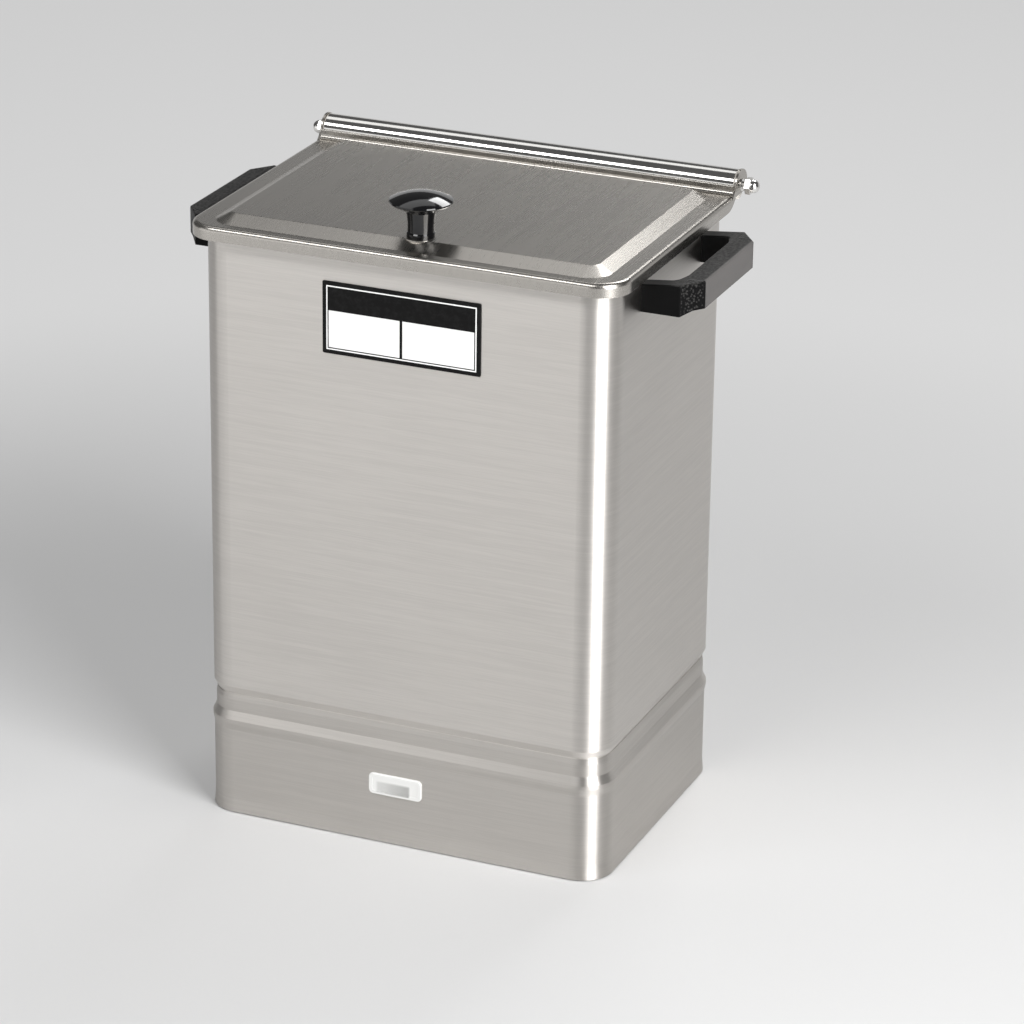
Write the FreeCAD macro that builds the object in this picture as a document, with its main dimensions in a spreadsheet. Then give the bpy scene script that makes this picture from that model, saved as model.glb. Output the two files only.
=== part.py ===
"""Hot pack heater: a free-standing stainless steel water tank on a base band, with a hinged lid.

The tank's own centre line is X = 0, Y = 0 while a piece is drawn. Each piece's Placement then moves it back
by a part of the hinge's overhang, so that the origin is the middle of the whole footprint, on the table top.
+Z is up, and the front is -Y.
"""

import FreeCAD, Part
import math
import os
import Sketcher
from FreeCAD import Vector

os.makedirs("parts", exist_ok=True)
doc = FreeCAD.newDocument("hot_pack_heater")

# ---------------------------------------------------------------------------------------------------------
# Driving dimensions, in millimetres. Heights are above the table top unless the name says otherwise.
# ---------------------------------------------------------------------------------------------------------
DIMENSIONS = {
    # drawn tank
    "tank_half_width": 134.0,
    "tank_half_depth": 96.8,
    "tank_corner": 20.0,
    "tank_sheet": 1.0,
    "tank_bottom": 60.0,
    "tank_bottom_round": 10.0,
    "neck_inset": 2.3,
    "neck_top": 86.5,
    "neck_crease": 81.8,
    "rim_overhang": 4.6,
    "rim_turndown": 4.0,
    "rim_round": 1.5,
    # base band
    "band_sheet": 0.9,
    "band_top": 81.0,
    "band_lead_in": 3.6,
    "bead_top": 69.5,
    "bead_middle": 63.1,
    "bead_bottom": 57.2,
    "bead_flat": 2.2,
    "bead_out": 0.9,
    "flare_top": 10.0,
    "flare_out": 0.7,
    "band_bottom": 0.8,
    # lid
    "lid_clearance": 0.7,
    "lid_sheet": 1.3,
    "lid_top": 387.9,
    "lid_skirt_depth": 8.6,
    "lid_corner": 19.5,
    "lid_edge_round": 2.9,
    "panel_rise": 4.1,
    "panel_margin": 13.1,
    "panel_slope": 8.7,
    "panel_front_margin": 8.1,
    "panel_front_slope": 12.0,
    "panel_corner": 5.0,
    "panel_foot_corner": 15.0,
    "panel_edge_round": 1.4,
    "panel_rear_margin": 3.9,
    "lip_rise": 5.6,
    "lip_cove": 2.6,
    # hinge
    "hinge_y": 100.0,
    "hinge_z": 391.2,
    "tube_radius": 9.5,
    "tube_wall": 1.5,
    "lip_gap": 0.6,
    "ear_margin": 0.5,
    "ear_neck_drop": 5.1,
    "ear_heel_radius": 16.5,
    "ear_heel_run": 23.0,
    "ear_rise_run": 16.0,
    "rod_radius": 2.4,
    "rod_running_gap": 0.05,
    "bush_flange": 0.8,
    "bush_length": 12.0,
    "ear_side_gap": 0.3,
    "washer_radius": 3.9,
    "washer_thickness": 0.8,
    "rod_slack": 2.6,
    "nut_across_flats": 9.5,
    "nut_hex_length": 3.2,
    "nut_dome_radius": 4.3,
    "nut_length": 8.3,
    # knob
    "knob_x": 3.6,
    "knob_y": -75.5,
    "knob_radius": 19.3,
    "knob_height": 27.0,
    "knob_rim_height": 22.3,
    "knob_rim_thickness": 1.8,
    "knob_stem_top_radius": 8.9,
    "knob_stem_radius": 8.0,
    "knob_collar_height": 3.0,
    "knob_pad_radius": 11.0,
    "knob_screw_radius": 2.5,
    "knob_screw_length": 14.0,
    # moulded handles
    "handle_reach": 34.8,
    "handle_centre_y": 4.5,
    "handle_half_length": 55.5,
    "handle_grip_half_length": 41.0,
    "handle_corner_reach": 24.2,
    "handle_top": 375.5,
    "handle_leg_height": 19.5,
    "handle_leg_width": 11.0,
    "handle_grip_width": 13.5,
    "handle_grip_relief": 2.5,
    "handle_wall_drop": 2.6,
    "handle_edge_round": 1.2,
    "handle_inside_round": 5.0,
    "handle_screw_radius": 2.5,
    "handle_screw_length": 18.0,
    "hole_clearance": 0.25,
    # plate and lamp on the front
    "plate_width": 102.5,
    "plate_height": 45.5,
    "plate_x": 0.75,
    "plate_z": 340.5,
    "plate_thickness": 0.8,
    "lamp_x": -2.3,
    "lamp_z": 40.0,
    "lamp_width": 35.5,
    "lamp_height": 14.0,
    "lamp_proud": 1.4,
    "lamp_flange": 1.3,
    "lamp_corner": 3.0,
    "lamp_depth": 18.0,
    # bottom plate, feet and gland
    "bottom_plate_z": 8.0,
    "bottom_plate_sheet": 1.2,
    "bottom_plate_gap": 0.5,
    "foot_inset_x": 26.0,
    "foot_inset_y": 24.8,
    "foot_radius": 9.0,
    "foot_screw_radius": 2.0,
    "bracket_inset": 56.0,
    "bracket_foot_height": 28.0,
    "bracket_width": 14.0,
    "bracket_leg": 12.0,
    "plate_screw_radius": 1.7,
    "gland_inset": 42.0,
    "gland_z": 32.0,
    "gland_hole_radius": 6.35,
    "gland_bore_radius": 4.75,
    "gland_flange_radius": 9.0,
    "vent_length": 22.0,
    "vent_width": 3.0,
    "vent_pitch": 9.0,
    "vent_x": -38.0,
    # heater and controls
    "element_radius": 4.0,
    "element_height": 15.0,
    "element_half_span": 30.0,
    "element_inset": 46.0,
    "element_far_inset": 72.0,
    "element_bend": 9.0,
    "fitting_radius": 6.0,
    "fitting_flange_radius": 10.0,
    "fitting_flange_height": 3.0,
    "fitting_thread": 8.0,
    "gasket_thickness": 1.5,
    "element_nut_height": 5.0,
    "terminal_drop": 16.0,
    "terminal_length": 9.0,
    "thermostat_inset": 76.0,
    "thermostat_y": 24.0,
    "thermostat_half_width": 17.0,
    "thermostat_bottom": 24.0,
    "thermostat_height": 20.0,
    "spindle_radius": 3.0,
    "spindle_bottom": 10.8,
    "spindle_entry": 6.0,
    "bulb_radius": 3.2,
    "bulb_length": 80.0,
    "bulb_inset": 24.0,
    "bulb_y": -34.0,
    "clip_sheet": 0.8,
    "clip_ear": 7.0,
    "clip_width": 8.0,
    "capillary_radius": 0.9,
    "cutout_x": -20.0,
    "cutout_y": 22.0,
    "block_inset_x": 48.0,
    "block_inset_y": 50.8,
    "block_pitch": 11.0,
    "block_width": 20.0,
    "earth_x": -60.0,
    "earth_y": 52.0,
    # rack
    "wire_radius": 2.0,
    "rack_inset_x": 13.0,
    "rack_inset_y": 12.8,
    "rack_floor_height": 28.0,
    "rack_top": 344.0,
}


class Size:
    """A length together with the sheet formula that gives it."""

    def __init__(self, number, text):
        self.number = float(number)
        self.text = text

    def joined(self, other, sign, number):
        other = size(other)
        return Size(number, f"({self.text} {sign} {other.text})")

    def __add__(self, other):
        return self.joined(other, "+", self.number + size(other).number)

    def __sub__(self, other):
        return self.joined(other, "-", self.number - size(other).number)

    def __mul__(self, other):
        return self.joined(other, "*", self.number * size(other).number)

    def __truediv__(self, other):
        return self.joined(other, "/", self.number / size(other).number)

    def __neg__(self):
        return Size(-self.number, f"(0 - {self.text})")

    def __radd__(self, other):
        return size(other) + self

    def __rsub__(self, other):
        return size(other) - self


def size(value):
    """Wrap a plain number, and leave a Size as it is."""
    if isinstance(value, Size):
        return value
    return Size(value, f"{value:.6f}")


def root(value):
    """The square root of a Size."""
    return Size(math.sqrt(value.number), f"sqrt({value.text})")


class Dimensions:
    """The sheet's cells by name."""

    def __init__(self, cells):
        sheet = doc.addObject("Spreadsheet::Sheet", "Sizes")
        for row, (name, number) in enumerate(cells.items(), start=1):
            sheet.set(f"A{row}", name)
            sheet.set(f"B{row}", str(number))
            sheet.setAlias(f"B{row}", name)
            setattr(self, name, Size(number, f"Sizes.{name}"))
        doc.recompute()


d = Dimensions(DIMENSIONS)


def bind(item, name, value):
    """Tie one property of an object to the sheet."""
    item.setExpression(name, size(value).text)


# ---------------------------------------------------------------------------------------------------------
# Drawing helpers
# ---------------------------------------------------------------------------------------------------------
def new_body(name):
    """An empty body, named after its piece."""
    return doc.addObject("PartDesign::Body", name)


def new_sketch(body, plane, lift=0):
    """A sketch on one of the body's origin planes, moved along the plane's normal by lift."""
    sketch = body.newObject("Sketcher::SketchObject", f"{body.Name}_sketch")
    face = next(f for f in body.Origin.OriginFeatures if f.Role == plane)
    sketch.AttachmentSupport = (face, [""])
    sketch.MapMode = "FlatFace"
    bind(sketch, "AttachmentOffset.Base.z", lift)
    return sketch


def fix(sketch, kind, parts, value):
    """Add one dimension to a sketch and tie it to the sheet."""
    value = size(value)
    index = sketch.addConstraint(Sketcher.Constraint(kind, *parts, value.number))
    sketch.setExpression(f"Constraints[{index}]", value.text)


def fix_point(sketch, edge, end, x, y):
    """Hold an edge's end at x, y from the sketch's origin."""
    for kind, axis, value in (("DistanceX", -2, size(x)), ("DistanceY", -1, size(y))):
        if value.text == "0.000000":
            sketch.addConstraint(Sketcher.Constraint("PointOnObject", edge, end, axis))
        else:
            fix(sketch, kind, (-1, 1, edge, end), value)


def arc_edge(start, end, radius, turn):
    """The short arc from start to end, turning left (+1) or right (-1)."""
    chord = end.sub(start)
    rise = math.sqrt(max(radius**2 - (chord.Length / 2) ** 2, 0.0))
    across = Vector(-chord.y, chord.x, 0).normalize() * (rise * turn)
    centre = (start + end) / 2 + across
    first, last = (start, end) if turn > 0 else (end, start)
    angles = [math.atan2(p.y - centre.y, p.x - centre.x) for p in (first, last)]
    if angles[1] <= angles[0]:
        angles[1] += 2 * math.pi
    return Part.ArcOfCircle(Part.Circle(centre, Vector(0, 0, 1), radius), *angles)


def draw(sketch, points):
    """A closed outline. A point is (x, y), or (x, y, radius, turn) where an arc leads to it."""
    places = [Vector(size(p[0]).number, size(p[1]).number, 0) for p in points]
    ends = []
    for k, point in enumerate(points):
        start, end = places[k - 1], places[k]
        if len(point) == 4:
            radius, turn = size(point[2]), point[3]
            edge = sketch.addGeometry(arc_edge(start, end, radius.number, turn), False)
            fix(sketch, "Radius", (edge,), radius)
            ends.append((edge, 1, 2) if turn > 0 else (edge, 2, 1))
        else:
            edge = sketch.addGeometry(Part.LineSegment(start, end), False)
            ends.append((edge, 1, 2))
    for k, point in enumerate(points):
        edge, _, tail = ends[k]
        following, head, _ = ends[(k + 1) % len(points)]
        sketch.addConstraint(Sketcher.Constraint("Coincident", edge, tail, following, head))
        fix_point(sketch, edge, tail, point[0], point[1])
    return sketch


def draw_circle(sketch, x, y, radius):
    """A circle about x, y."""
    centre = Vector(size(x).number, size(y).number, 0)
    edge = sketch.addGeometry(Part.Circle(centre, Vector(0, 0, 1), size(radius).number), False)
    fix_point(sketch, edge, 3, x, y)
    fix(sketch, "Radius", (edge,), radius)
    return sketch


def draw_box(sketch, left, right, low, high):
    """An upright rectangle."""
    return draw(sketch, [(left, low), (right, low), (right, high), (left, high)])


def draw_rounded(sketch, left, right, low, high, corner):
    """A rectangle with rounded corners."""
    return draw(
        sketch,
        [
            (right - corner, low),
            (right, low + corner, corner, 1),
            (right, high - corner),
            (right - corner, high, corner, 1),
            (left + corner, high),
            (left, high - corner, corner, 1),
            (left, low + corner),
            (left + corner, low, corner, 1),
        ],
    )


def draw_hexagon(sketch, x, y, across_flats):
    """A hexagon with a corner to the right."""
    radius = across_flats * (0.5 / math.cos(math.pi / 6))
    corners = [math.pi / 3 * k for k in range(6)]
    return draw(sketch, [(x + radius * math.cos(a), y + radius * math.sin(a)) for a in corners])


# ---------------------------------------------------------------------------------------------------------
# Features
# ---------------------------------------------------------------------------------------------------------
def feature(body, kind, sketch, settings):
    """Add a sketch-based feature, and refuse one that changes nothing."""
    before = body.Shape.Volume if body.Tip else 0.0
    item = body.newObject(f"PartDesign::{kind}", f"{body.Name}_{kind.lower()}")
    item.Profile = sketch
    for name, value in settings.items():
        if isinstance(value, Size):
            bind(item, name, value)
        else:
            setattr(item, name, value)
    doc.recompute([body])
    if abs(body.Shape.Volume - before) < 1e-3:
        raise RuntimeError(f"{item.Name} changes nothing: {item.getStatusString()}")
    return item


def pad(body, sketch, length, reverse=False, both_ways=False):
    """Thicken a sketch along its normal."""
    settings = {"Length": size(length), "Reversed": reverse, "Midplane": both_ways}
    return feature(body, "Pad", sketch, settings)


def pocket(body, sketch, depth, along_normal=True, both_ways=False):
    """Cut a sketch into the body, along the sketch's normal or against it."""
    settings = {"Length": size(depth), "Reversed": along_normal, "Midplane": both_ways}
    return feature(body, "Pocket", sketch, settings)


def loft(body, sketches, cut=False, straight=True):
    """Join outlines, or cut the form that joins them."""
    kind = "SubtractiveLoft" if cut else "AdditiveLoft"
    return feature(body, kind, sketches[0], {"Sections": sketches[1:], "Ruled": straight})


def revolve(body, sketch, cut=False):
    """Turn a sketch once about its own upright axis."""
    kind = "Groove" if cut else "Revolution"
    return feature(body, kind, sketch, {"ReferenceAxis": (sketch, ["V_Axis"]), "Angle": size(360)})


def dress(body, kind, name, value, chosen):
    """Dress the edges of the body's latest feature for which chosen(edge) is true."""
    base = body.Tip
    names = [f"Edge{k}" for k, edge in enumerate(base.Shape.Edges, start=1) if chosen(edge)]
    if not names:
        raise RuntimeError(f"{body.Name} has no edge to dress")
    item = body.newObject(f"PartDesign::{kind}", f"{body.Name}_{kind.lower()}")
    item.Base = (base, names)
    bind(item, name, value)
    doc.recompute([body])
    if "Up-to-date" not in item.State:
        raise RuntimeError(f"{item.Name} failed: {item.getStatusString()}")
    return item


def fillet(body, radius, chosen):
    """Round the chosen edges."""
    return dress(body, "Fillet", "Radius", radius, chosen)


def chamfer(body, width, chosen):
    """Break the chosen edges at 45 degrees."""
    return dress(body, "Chamfer", "Size", width, chosen)


def level(edge, height):
    """True for an edge that lies in the plane at a height."""
    box = edge.BoundBox
    return abs(box.ZMin - height.number) < 1e-4 and abs(box.ZMax - height.number) < 1e-4


def middle(edge):
    """The point half way along an edge."""
    return edge.valueAt((edge.FirstParameter + edge.LastParameter) / 2)


PIECES = []


def piece(item, name):
    """Name a finished piece and move it from the tank's frame to the part's own."""
    item.Label = name
    bind(item, "Placement.Base.y", frame_shift)
    PIECES.append(item)
    return item


def mirrored(item, direction):
    """A pair: the item and its mirror image through the tank's middle plane."""
    image = doc.addObject("Part::Mirroring", f"{item.Name}_image")
    image.Source = item
    image.Normal = direction
    pair = doc.addObject("Part::Compound", f"{item.Name}_pair")
    pair.Links = [item, image]
    return pair


def seated(item):
    """The item in a holder, so that its own place and the shift to the part's frame stay apart."""
    holder = doc.addObject("Part::Compound", f"{item.Name}_seat")
    holder.Links = [item]
    return holder


def four(item):
    """The item at all four corners."""
    return mirrored(mirrored(item, Vector(1, 0, 0)), Vector(0, 1, 0))


# The footprint runs from the lid's front skirt to the back of the hinge ears.
tank_back = d.tank_half_depth
lid_half_width = d.tank_half_width + d.rim_overhang + d.lid_clearance + d.lid_sheet
lid_front = -(tank_back + d.rim_overhang + d.lid_clearance + d.lid_sheet)
ear_radius = d.tube_radius + d.ear_margin
frame_shift = -(d.hinge_y + ear_radius + lid_front) / 2

rim_height = d.lid_top - d.lid_sheet
lid_bottom = d.lid_top - d.lid_skirt_depth

# What sits in the base keeps its distance from the walls.
foot_x = d.tank_half_width - d.foot_inset_x
foot_y = tank_back - d.foot_inset_y
bracket_x = d.tank_half_width - d.bracket_inset
gland_x = d.tank_half_width - d.gland_inset
element_x = d.element_inset - d.tank_half_width
thermostat_x = d.tank_half_width - d.thermostat_inset
bulb_x = thermostat_x - d.bulb_inset - d.bulb_length


def tank_outline(sketch, inset, corner=None):
    """The tank's rounded outline, drawn in by inset all round."""
    corner = d.tank_corner - inset if corner is None else corner
    width, depth = d.tank_half_width - inset, tank_back - inset
    return draw_rounded(sketch, -width, width, -depth, depth, corner)


# ---------------------------------------------------------------------------------------------------------
# Tank and base
# ---------------------------------------------------------------------------------------------------------
def tank():
    """The drawn tank: turned rim, straight walls, a swaged neck that enters the base band, a round bottom."""
    body = new_body("tank")

    # The rim stands out at the front and sides and runs out into the back wall at the rear corners.
    rim_width = d.tank_half_width + d.rim_overhang
    rim_front = -(tank_back + d.rim_overhang)
    rim_corner = d.tank_corner + d.rim_overhang
    turn_bottom = rim_height - d.rim_turndown
    sketch = new_sketch(body, "XY_Plane", turn_bottom)
    draw_rounded(sketch, -rim_width, rim_width, rim_front, tank_back, rim_corner)
    pad(body, sketch, d.rim_turndown)
    fillet(body, d.rim_round, lambda e: level(e, rim_height) and middle(e).y < tank_back.number - 1)
    sketch = new_sketch(body, "XY_Plane", turn_bottom)
    t = d.tank_sheet
    draw_rounded(sketch, -rim_width + t, rim_width - t, rim_front + t, tank_back - t, rim_corner - t)
    pocket(body, sketch, d.rim_turndown - t)

    # Outside of the walls, the neck and the bottom.
    sketch = tank_outline(new_sketch(body, "XY_Plane", d.neck_top), size(0))
    pad(body, sketch, rim_height - d.neck_top)
    upper = tank_outline(new_sketch(body, "XY_Plane", d.neck_top), size(0))
    lower = tank_outline(new_sketch(body, "XY_Plane", d.neck_crease), d.neck_inset)
    loft(body, [upper, lower])
    sketch = tank_outline(new_sketch(body, "XY_Plane", d.tank_bottom), d.neck_inset)
    pad(body, sketch, d.neck_crease - d.tank_bottom)

    # Inside, one sheet in from the outside.
    sketch = tank_outline(new_sketch(body, "XY_Plane", d.neck_top), t)
    pocket(body, sketch, rim_height - d.neck_top)
    upper = tank_outline(new_sketch(body, "XY_Plane", d.neck_top), t)
    lower = tank_outline(new_sketch(body, "XY_Plane", d.neck_crease), d.neck_inset + t)
    loft(body, [upper, lower], cut=True)
    floor = d.tank_bottom + t
    sketch = tank_outline(new_sketch(body, "XY_Plane", floor), d.neck_inset + t)
    pocket(body, sketch, d.neck_crease - floor)
    fillet(body, d.tank_bottom_round - t, lambda e: level(e, floor))
    fillet(body, d.tank_bottom_round, lambda e: level(e, d.tank_bottom))

    # The back wall and the rim's ends are cut to a saddle for the hinge tube.
    sketch = draw_circle(new_sketch(body, "YZ_Plane"), d.hinge_y, d.hinge_z, d.tube_radius)
    pocket(body, sketch, rim_width * 3, both_ways=True)

    # Holes for the handle screws and the element's fittings.
    sketch = new_sketch(body, "YZ_Plane")
    for y in handle_screw_places():
        draw_circle(sketch, y, handle_screw_height(), d.handle_screw_radius + d.hole_clearance)
    pocket(body, sketch, rim_width * 3, both_ways=True)
    sketch = new_sketch(body, "XY_Plane", d.tank_bottom)
    for side in (-1, 1):
        draw_circle(sketch, element_x, d.element_half_span * side, d.fitting_radius)
    pocket(body, sketch, t)
    return piece(body, "tank")


def base_band():
    """The band that the tank's neck drops into: a coined top edge, a bead all round and a slightly flared foot."""
    body = new_body("base_skirt")
    t = d.band_sheet
    wall = d.tank_half_width
    band = wall - d.neck_inset + t
    crest = wall + d.bead_out
    half = d.bead_flat / 2

    path = new_sketch(body, "XY_Plane", d.flare_top)
    tank_outline(path, size(0))
    sketch = new_sketch(body, "XZ_Plane")
    draw(
        sketch,
        [
            (band - t, d.band_top),
            (band - t, d.bead_top),
            (crest - t, d.bead_middle + half),
            (crest - t, d.bead_middle - half),
            (wall - t, d.bead_bottom),
            (wall - t, d.flare_top),
            (wall + d.flare_out - t, d.band_bottom),
            (wall + d.flare_out, d.band_bottom),
            (wall, d.flare_top),
            (wall, d.bead_bottom),
            (crest, d.bead_middle - half),
            (crest, d.bead_middle + half),
            (band, d.bead_top),
            (band, d.band_top - d.band_lead_in),
            (band - t * 0.7, d.band_top),
        ],
    )
    feature(body, "AdditivePipe", sketch, {"Spine": (path, [])})

    # Window for the lamp in the front, and the gland's hole in the back.
    sketch = new_sketch(body, "XZ_Plane", tank_back - 10)
    half_width, half_height = lamp_window()
    left, right = d.lamp_x - half_width, d.lamp_x + half_width
    draw_rounded(sketch, left, right, d.lamp_z - half_height, d.lamp_z + half_height, d.lamp_corner - 1)
    pocket(body, sketch, 20)
    sketch = new_sketch(body, "XZ_Plane", 10 - tank_back)
    draw_circle(sketch, gland_x, d.gland_z, d.gland_hole_radius)
    pocket(body, sketch, 20, along_normal=False)
    return piece(body, "base_skirt")


def lamp_window():
    """Half the width and height of the lamp's opening."""
    return d.lamp_width / 2 - d.lamp_flange, d.lamp_height / 2 - d.lamp_flange


def bottom_plate():
    """The plate that closes the base from below, with vents, screw holes and the thermostat's access hole."""
    body = new_body("base_plate")
    inset = d.band_sheet + d.bottom_plate_gap
    thickness = d.bottom_plate_sheet
    pad(body, tank_outline(new_sketch(body, "XY_Plane", d.bottom_plate_z), inset), thickness)

    sketch = new_sketch(body, "XY_Plane", d.bottom_plate_z)
    for side_x in (-1, 1):
        for side_y in (-1, 1):
            draw_circle(sketch, foot_x * side_x, foot_y * side_y, d.foot_screw_radius)
            draw_circle(sketch, bracket_x * side_x, bracket_screw_y() * side_y, d.plate_screw_radius)
    draw_circle(sketch, thermostat_x, d.thermostat_y, d.spindle_radius + 2)
    pocket(body, sketch, thickness)

    # Two rows of vents, each spread from its first slot.
    for row in (-1, 1):
        sketch = new_sketch(body, "XY_Plane", d.bottom_plate_z)
        x, y = d.vent_x, d.vent_length * 0.8 * row
        half, reach = d.vent_width / 2, d.vent_length / 2
        draw_box(sketch, x - half, x + half, y - reach, y + reach)
        slot = pocket(body, sketch, thickness)
        spread = body.newObject("PartDesign::LinearPattern", f"vents_{row + 1}")
        spread.Originals = [slot]
        spread.Direction = (sketch, ["H_Axis"])
        spread.Occurrences = 5
        bind(spread, "Length", d.vent_pitch * 4)
        body.Tip = spread
        doc.recompute([body])
    return piece(body, "base_plate")


def bracket_screw_y():
    """How far the bottom plate's screws are from the middle."""
    return tank_back - d.band_sheet - d.bracket_leg / 2 - d.bottom_plate_sheet / 2


def plate_brackets():
    """Four angle brackets on the band's inside, which the bottom plate is screwed to."""
    body = new_body("plate_bracket")
    t = d.bottom_plate_sheet
    wall = tank_back - d.band_sheet
    seat = d.bottom_plate_z + d.bottom_plate_sheet
    foot = d.bracket_foot_height
    sketch = new_sketch(body, "YZ_Plane", bracket_x - d.bracket_width / 2)
    draw(
        sketch,
        [
            (wall - d.bracket_leg, seat),
            (wall - t * 1.5, seat),
            (wall - t * 1.5, foot - t),
            (wall, foot),
            (wall, foot + d.bracket_leg),
            (wall - t, foot + d.bracket_leg),
            (wall - t, foot),
            (wall - t * 2.5, foot - t),
            (wall - t * 2.5, seat + t),
            (wall - d.bracket_leg, seat + t),
        ],
    )
    pad(body, sketch, d.bracket_width)
    sketch = draw_circle(new_sketch(body, "XY_Plane", seat), bracket_x, bracket_screw_y(), d.plate_screw_radius)
    pocket(body, sketch, t)
    return piece(four(body), "plate_brackets")


def screw(name, plane, x, y, start, shank, length, head, head_height):
    """A cheese head screw: the shank runs forward from start along the plane's normal, the head behind start."""
    body = new_body(name)
    pad(body, draw_circle(new_sketch(body, plane, start), x, y, shank), length)
    pad(body, draw_circle(new_sketch(body, plane, start), x, y, head), head_height, reverse=True)
    return body


def bottom_screws():
    """Screws up through the bottom plate into its brackets."""
    body = screw(
        "plate_screw", "XY_Plane", bracket_x, bracket_screw_y(), d.bottom_plate_z,
        d.plate_screw_radius, size(8), d.plate_screw_radius * 1.9, size(1.6),
    )
    return piece(four(body), "plate_screws")


def feet():
    """Four rubber feet with a sunk screw, under the bottom plate."""
    body = new_body("foot")
    r, hole, sunk = d.foot_radius, d.foot_screw_radius, d.foot_screw_radius * 2.1
    sketch = new_sketch(body, "XZ_Plane")
    draw(
        sketch,
        [
            (sunk, size(0)), (r - 1.6, size(0)), (r - 0.8, size(0.8)), (r, d.bottom_plate_z),
            (hole, d.bottom_plate_z), (hole, size(4)), (sunk, size(4)),
        ],
    )
    revolve(body, sketch)
    bind(body, "Placement.Base.x", foot_x)
    bind(body, "Placement.Base.y", foot_y)
    return piece(four(body), "feet")


def foot_screws():
    """The screws that hold the feet, each with a nut on the plate's upper side."""
    body = screw(
        "foot_screw", "XY_Plane", foot_x, foot_y, size(4), d.foot_screw_radius,
        d.bottom_plate_z + 3, d.foot_screw_radius * 1.9, size(2.2),
    )
    return piece(four(body), "foot_screws")


def foot_nuts():
    """The nuts of the feet."""
    body = new_body("foot_nut")
    seat = d.bottom_plate_z + d.bottom_plate_sheet
    sketch = draw_hexagon(new_sketch(body, "XY_Plane", seat), foot_x, foot_y, d.foot_screw_radius * 3.5)
    draw_circle(sketch, foot_x, foot_y, d.foot_screw_radius)
    pad(body, sketch, 3.0)
    return piece(four(body), "foot_nuts")


def cord_gland():
    """The bush that a mains cord would leave through, in the back of the band."""
    body = new_body("gland_bush")
    bore, hole, flange = d.gland_bore_radius, d.gland_hole_radius, d.gland_flange_radius
    sketch = new_sketch(body, "XZ_Plane")
    wall = d.band_sheet
    draw(
        sketch,
        [
            (bore, size(-6.0)), (hole + 1, size(-6.0)), (hole + 1, size(-4.4)), (hole, size(-4.4)),
            (hole, size(-2.4)), (hole + 1.2, size(0) - wall), (hole, size(0) - wall), (hole, size(0)),
            (flange, size(0)), (flange, size(2.3)), (flange - 1.2, size(3.5)), (bore, size(3.5)),
        ],
    )
    revolve(body, sketch)
    # Drawn upright, then laid back so that its flange faces +Y.
    body.Placement.Rotation = FreeCAD.Rotation(Vector(1, 0, 0), -90)
    bind(body, "Placement.Base.x", gland_x)
    bind(body, "Placement.Base.z", d.gland_z)
    bind(body, "Placement.Base.y", tank_back)
    return piece(seated(body), "cord_gland")


# ---------------------------------------------------------------------------------------------------------
# Handles
# ---------------------------------------------------------------------------------------------------------
def handle_screw_places():
    """Where the handle screws are along Y."""
    reach = d.handle_half_length - d.handle_leg_width / 2
    return [d.handle_centre_y - reach, d.handle_centre_y + reach]


def handle_screw_height():
    """The height of the handle screws."""
    return d.handle_top - d.handle_leg_height / 2


def right_handle():
    """A moulded loop: two legs, slanted corners and a straight grip, lighter and less tall than the legs."""
    body = new_body("handle_moulding")
    wall = d.tank_half_width
    bottom = d.handle_top - d.handle_leg_height
    middle_y, half, grip_half = d.handle_centre_y, d.handle_half_length, d.handle_grip_half_length
    outside, corner = wall + d.handle_reach, wall + d.handle_corner_reach
    inside = outside - d.handle_grip_width
    opening = half - d.handle_leg_width
    sketch = new_sketch(body, "XY_Plane", bottom)
    draw(
        sketch,
        [
            (wall, middle_y - half), (corner, middle_y - half), (outside, middle_y - grip_half),
            (outside, middle_y + grip_half), (corner, middle_y + half), (wall, middle_y + half),
            (wall, middle_y + opening), (corner - 6, middle_y + opening), (inside, middle_y + grip_half - 7),
            (inside, middle_y - grip_half + 7), (corner - 6, middle_y - opening), (wall, middle_y - opening),
        ],
    )
    pad(body, sketch, d.handle_leg_height)

    # The legs slope down a little to the wall, and the grip is cut back underneath.
    reach = d.handle_half_length * 4
    sketch = new_sketch(body, "XZ_Plane")
    draw(sketch, [(wall, d.handle_top), (wall, d.handle_top - d.handle_wall_drop), (corner, d.handle_top)])
    pocket(body, sketch, reach, both_ways=True)
    sketch = new_sketch(body, "XZ_Plane")
    relief = d.handle_grip_relief
    draw(
        sketch,
        [(corner, bottom), (outside + 1, bottom), (outside + 1, bottom + relief), (outside - 5, bottom + relief)],
    )
    pocket(body, sketch, reach, both_ways=True)

    def moulded_edge(edge):
        """Every edge but those round the seats on the wall."""
        return edge.BoundBox.XMax > wall.number + 1

    def upright_inside(edge):
        box = edge.BoundBox
        upright = box.ZLength > 10 and box.XLength + box.YLength < 1e-3
        return upright and wall.number + 1 < box.XMax < outside.number - 8 and abs(
            middle(edge).y - middle_y.number) < opening.number + 1

    fillet(body, d.handle_inside_round, upright_inside)
    fillet(body, d.handle_edge_round, lambda e: moulded_edge(e) and middle(e).z > d.handle_top.number - 3
           and e.BoundBox.ZLength < 4)

    sketch = new_sketch(body, "YZ_Plane", wall)
    for y in handle_screw_places():
        draw_circle(sketch, y, handle_screw_height(), d.handle_screw_radius)
    pocket(body, sketch, d.handle_screw_length - d.tank_sheet)
    return body


def handles():
    """The right handle, and the left one as its mirror image."""
    right = right_handle()
    left = doc.addObject("Part::Mirroring", "handle_moulding_image")
    left.Source = right
    left.Normal = Vector(1, 0, 0)
    piece(seated(right), "handle_right")
    piece(seated(left), "handle_left")


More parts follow.
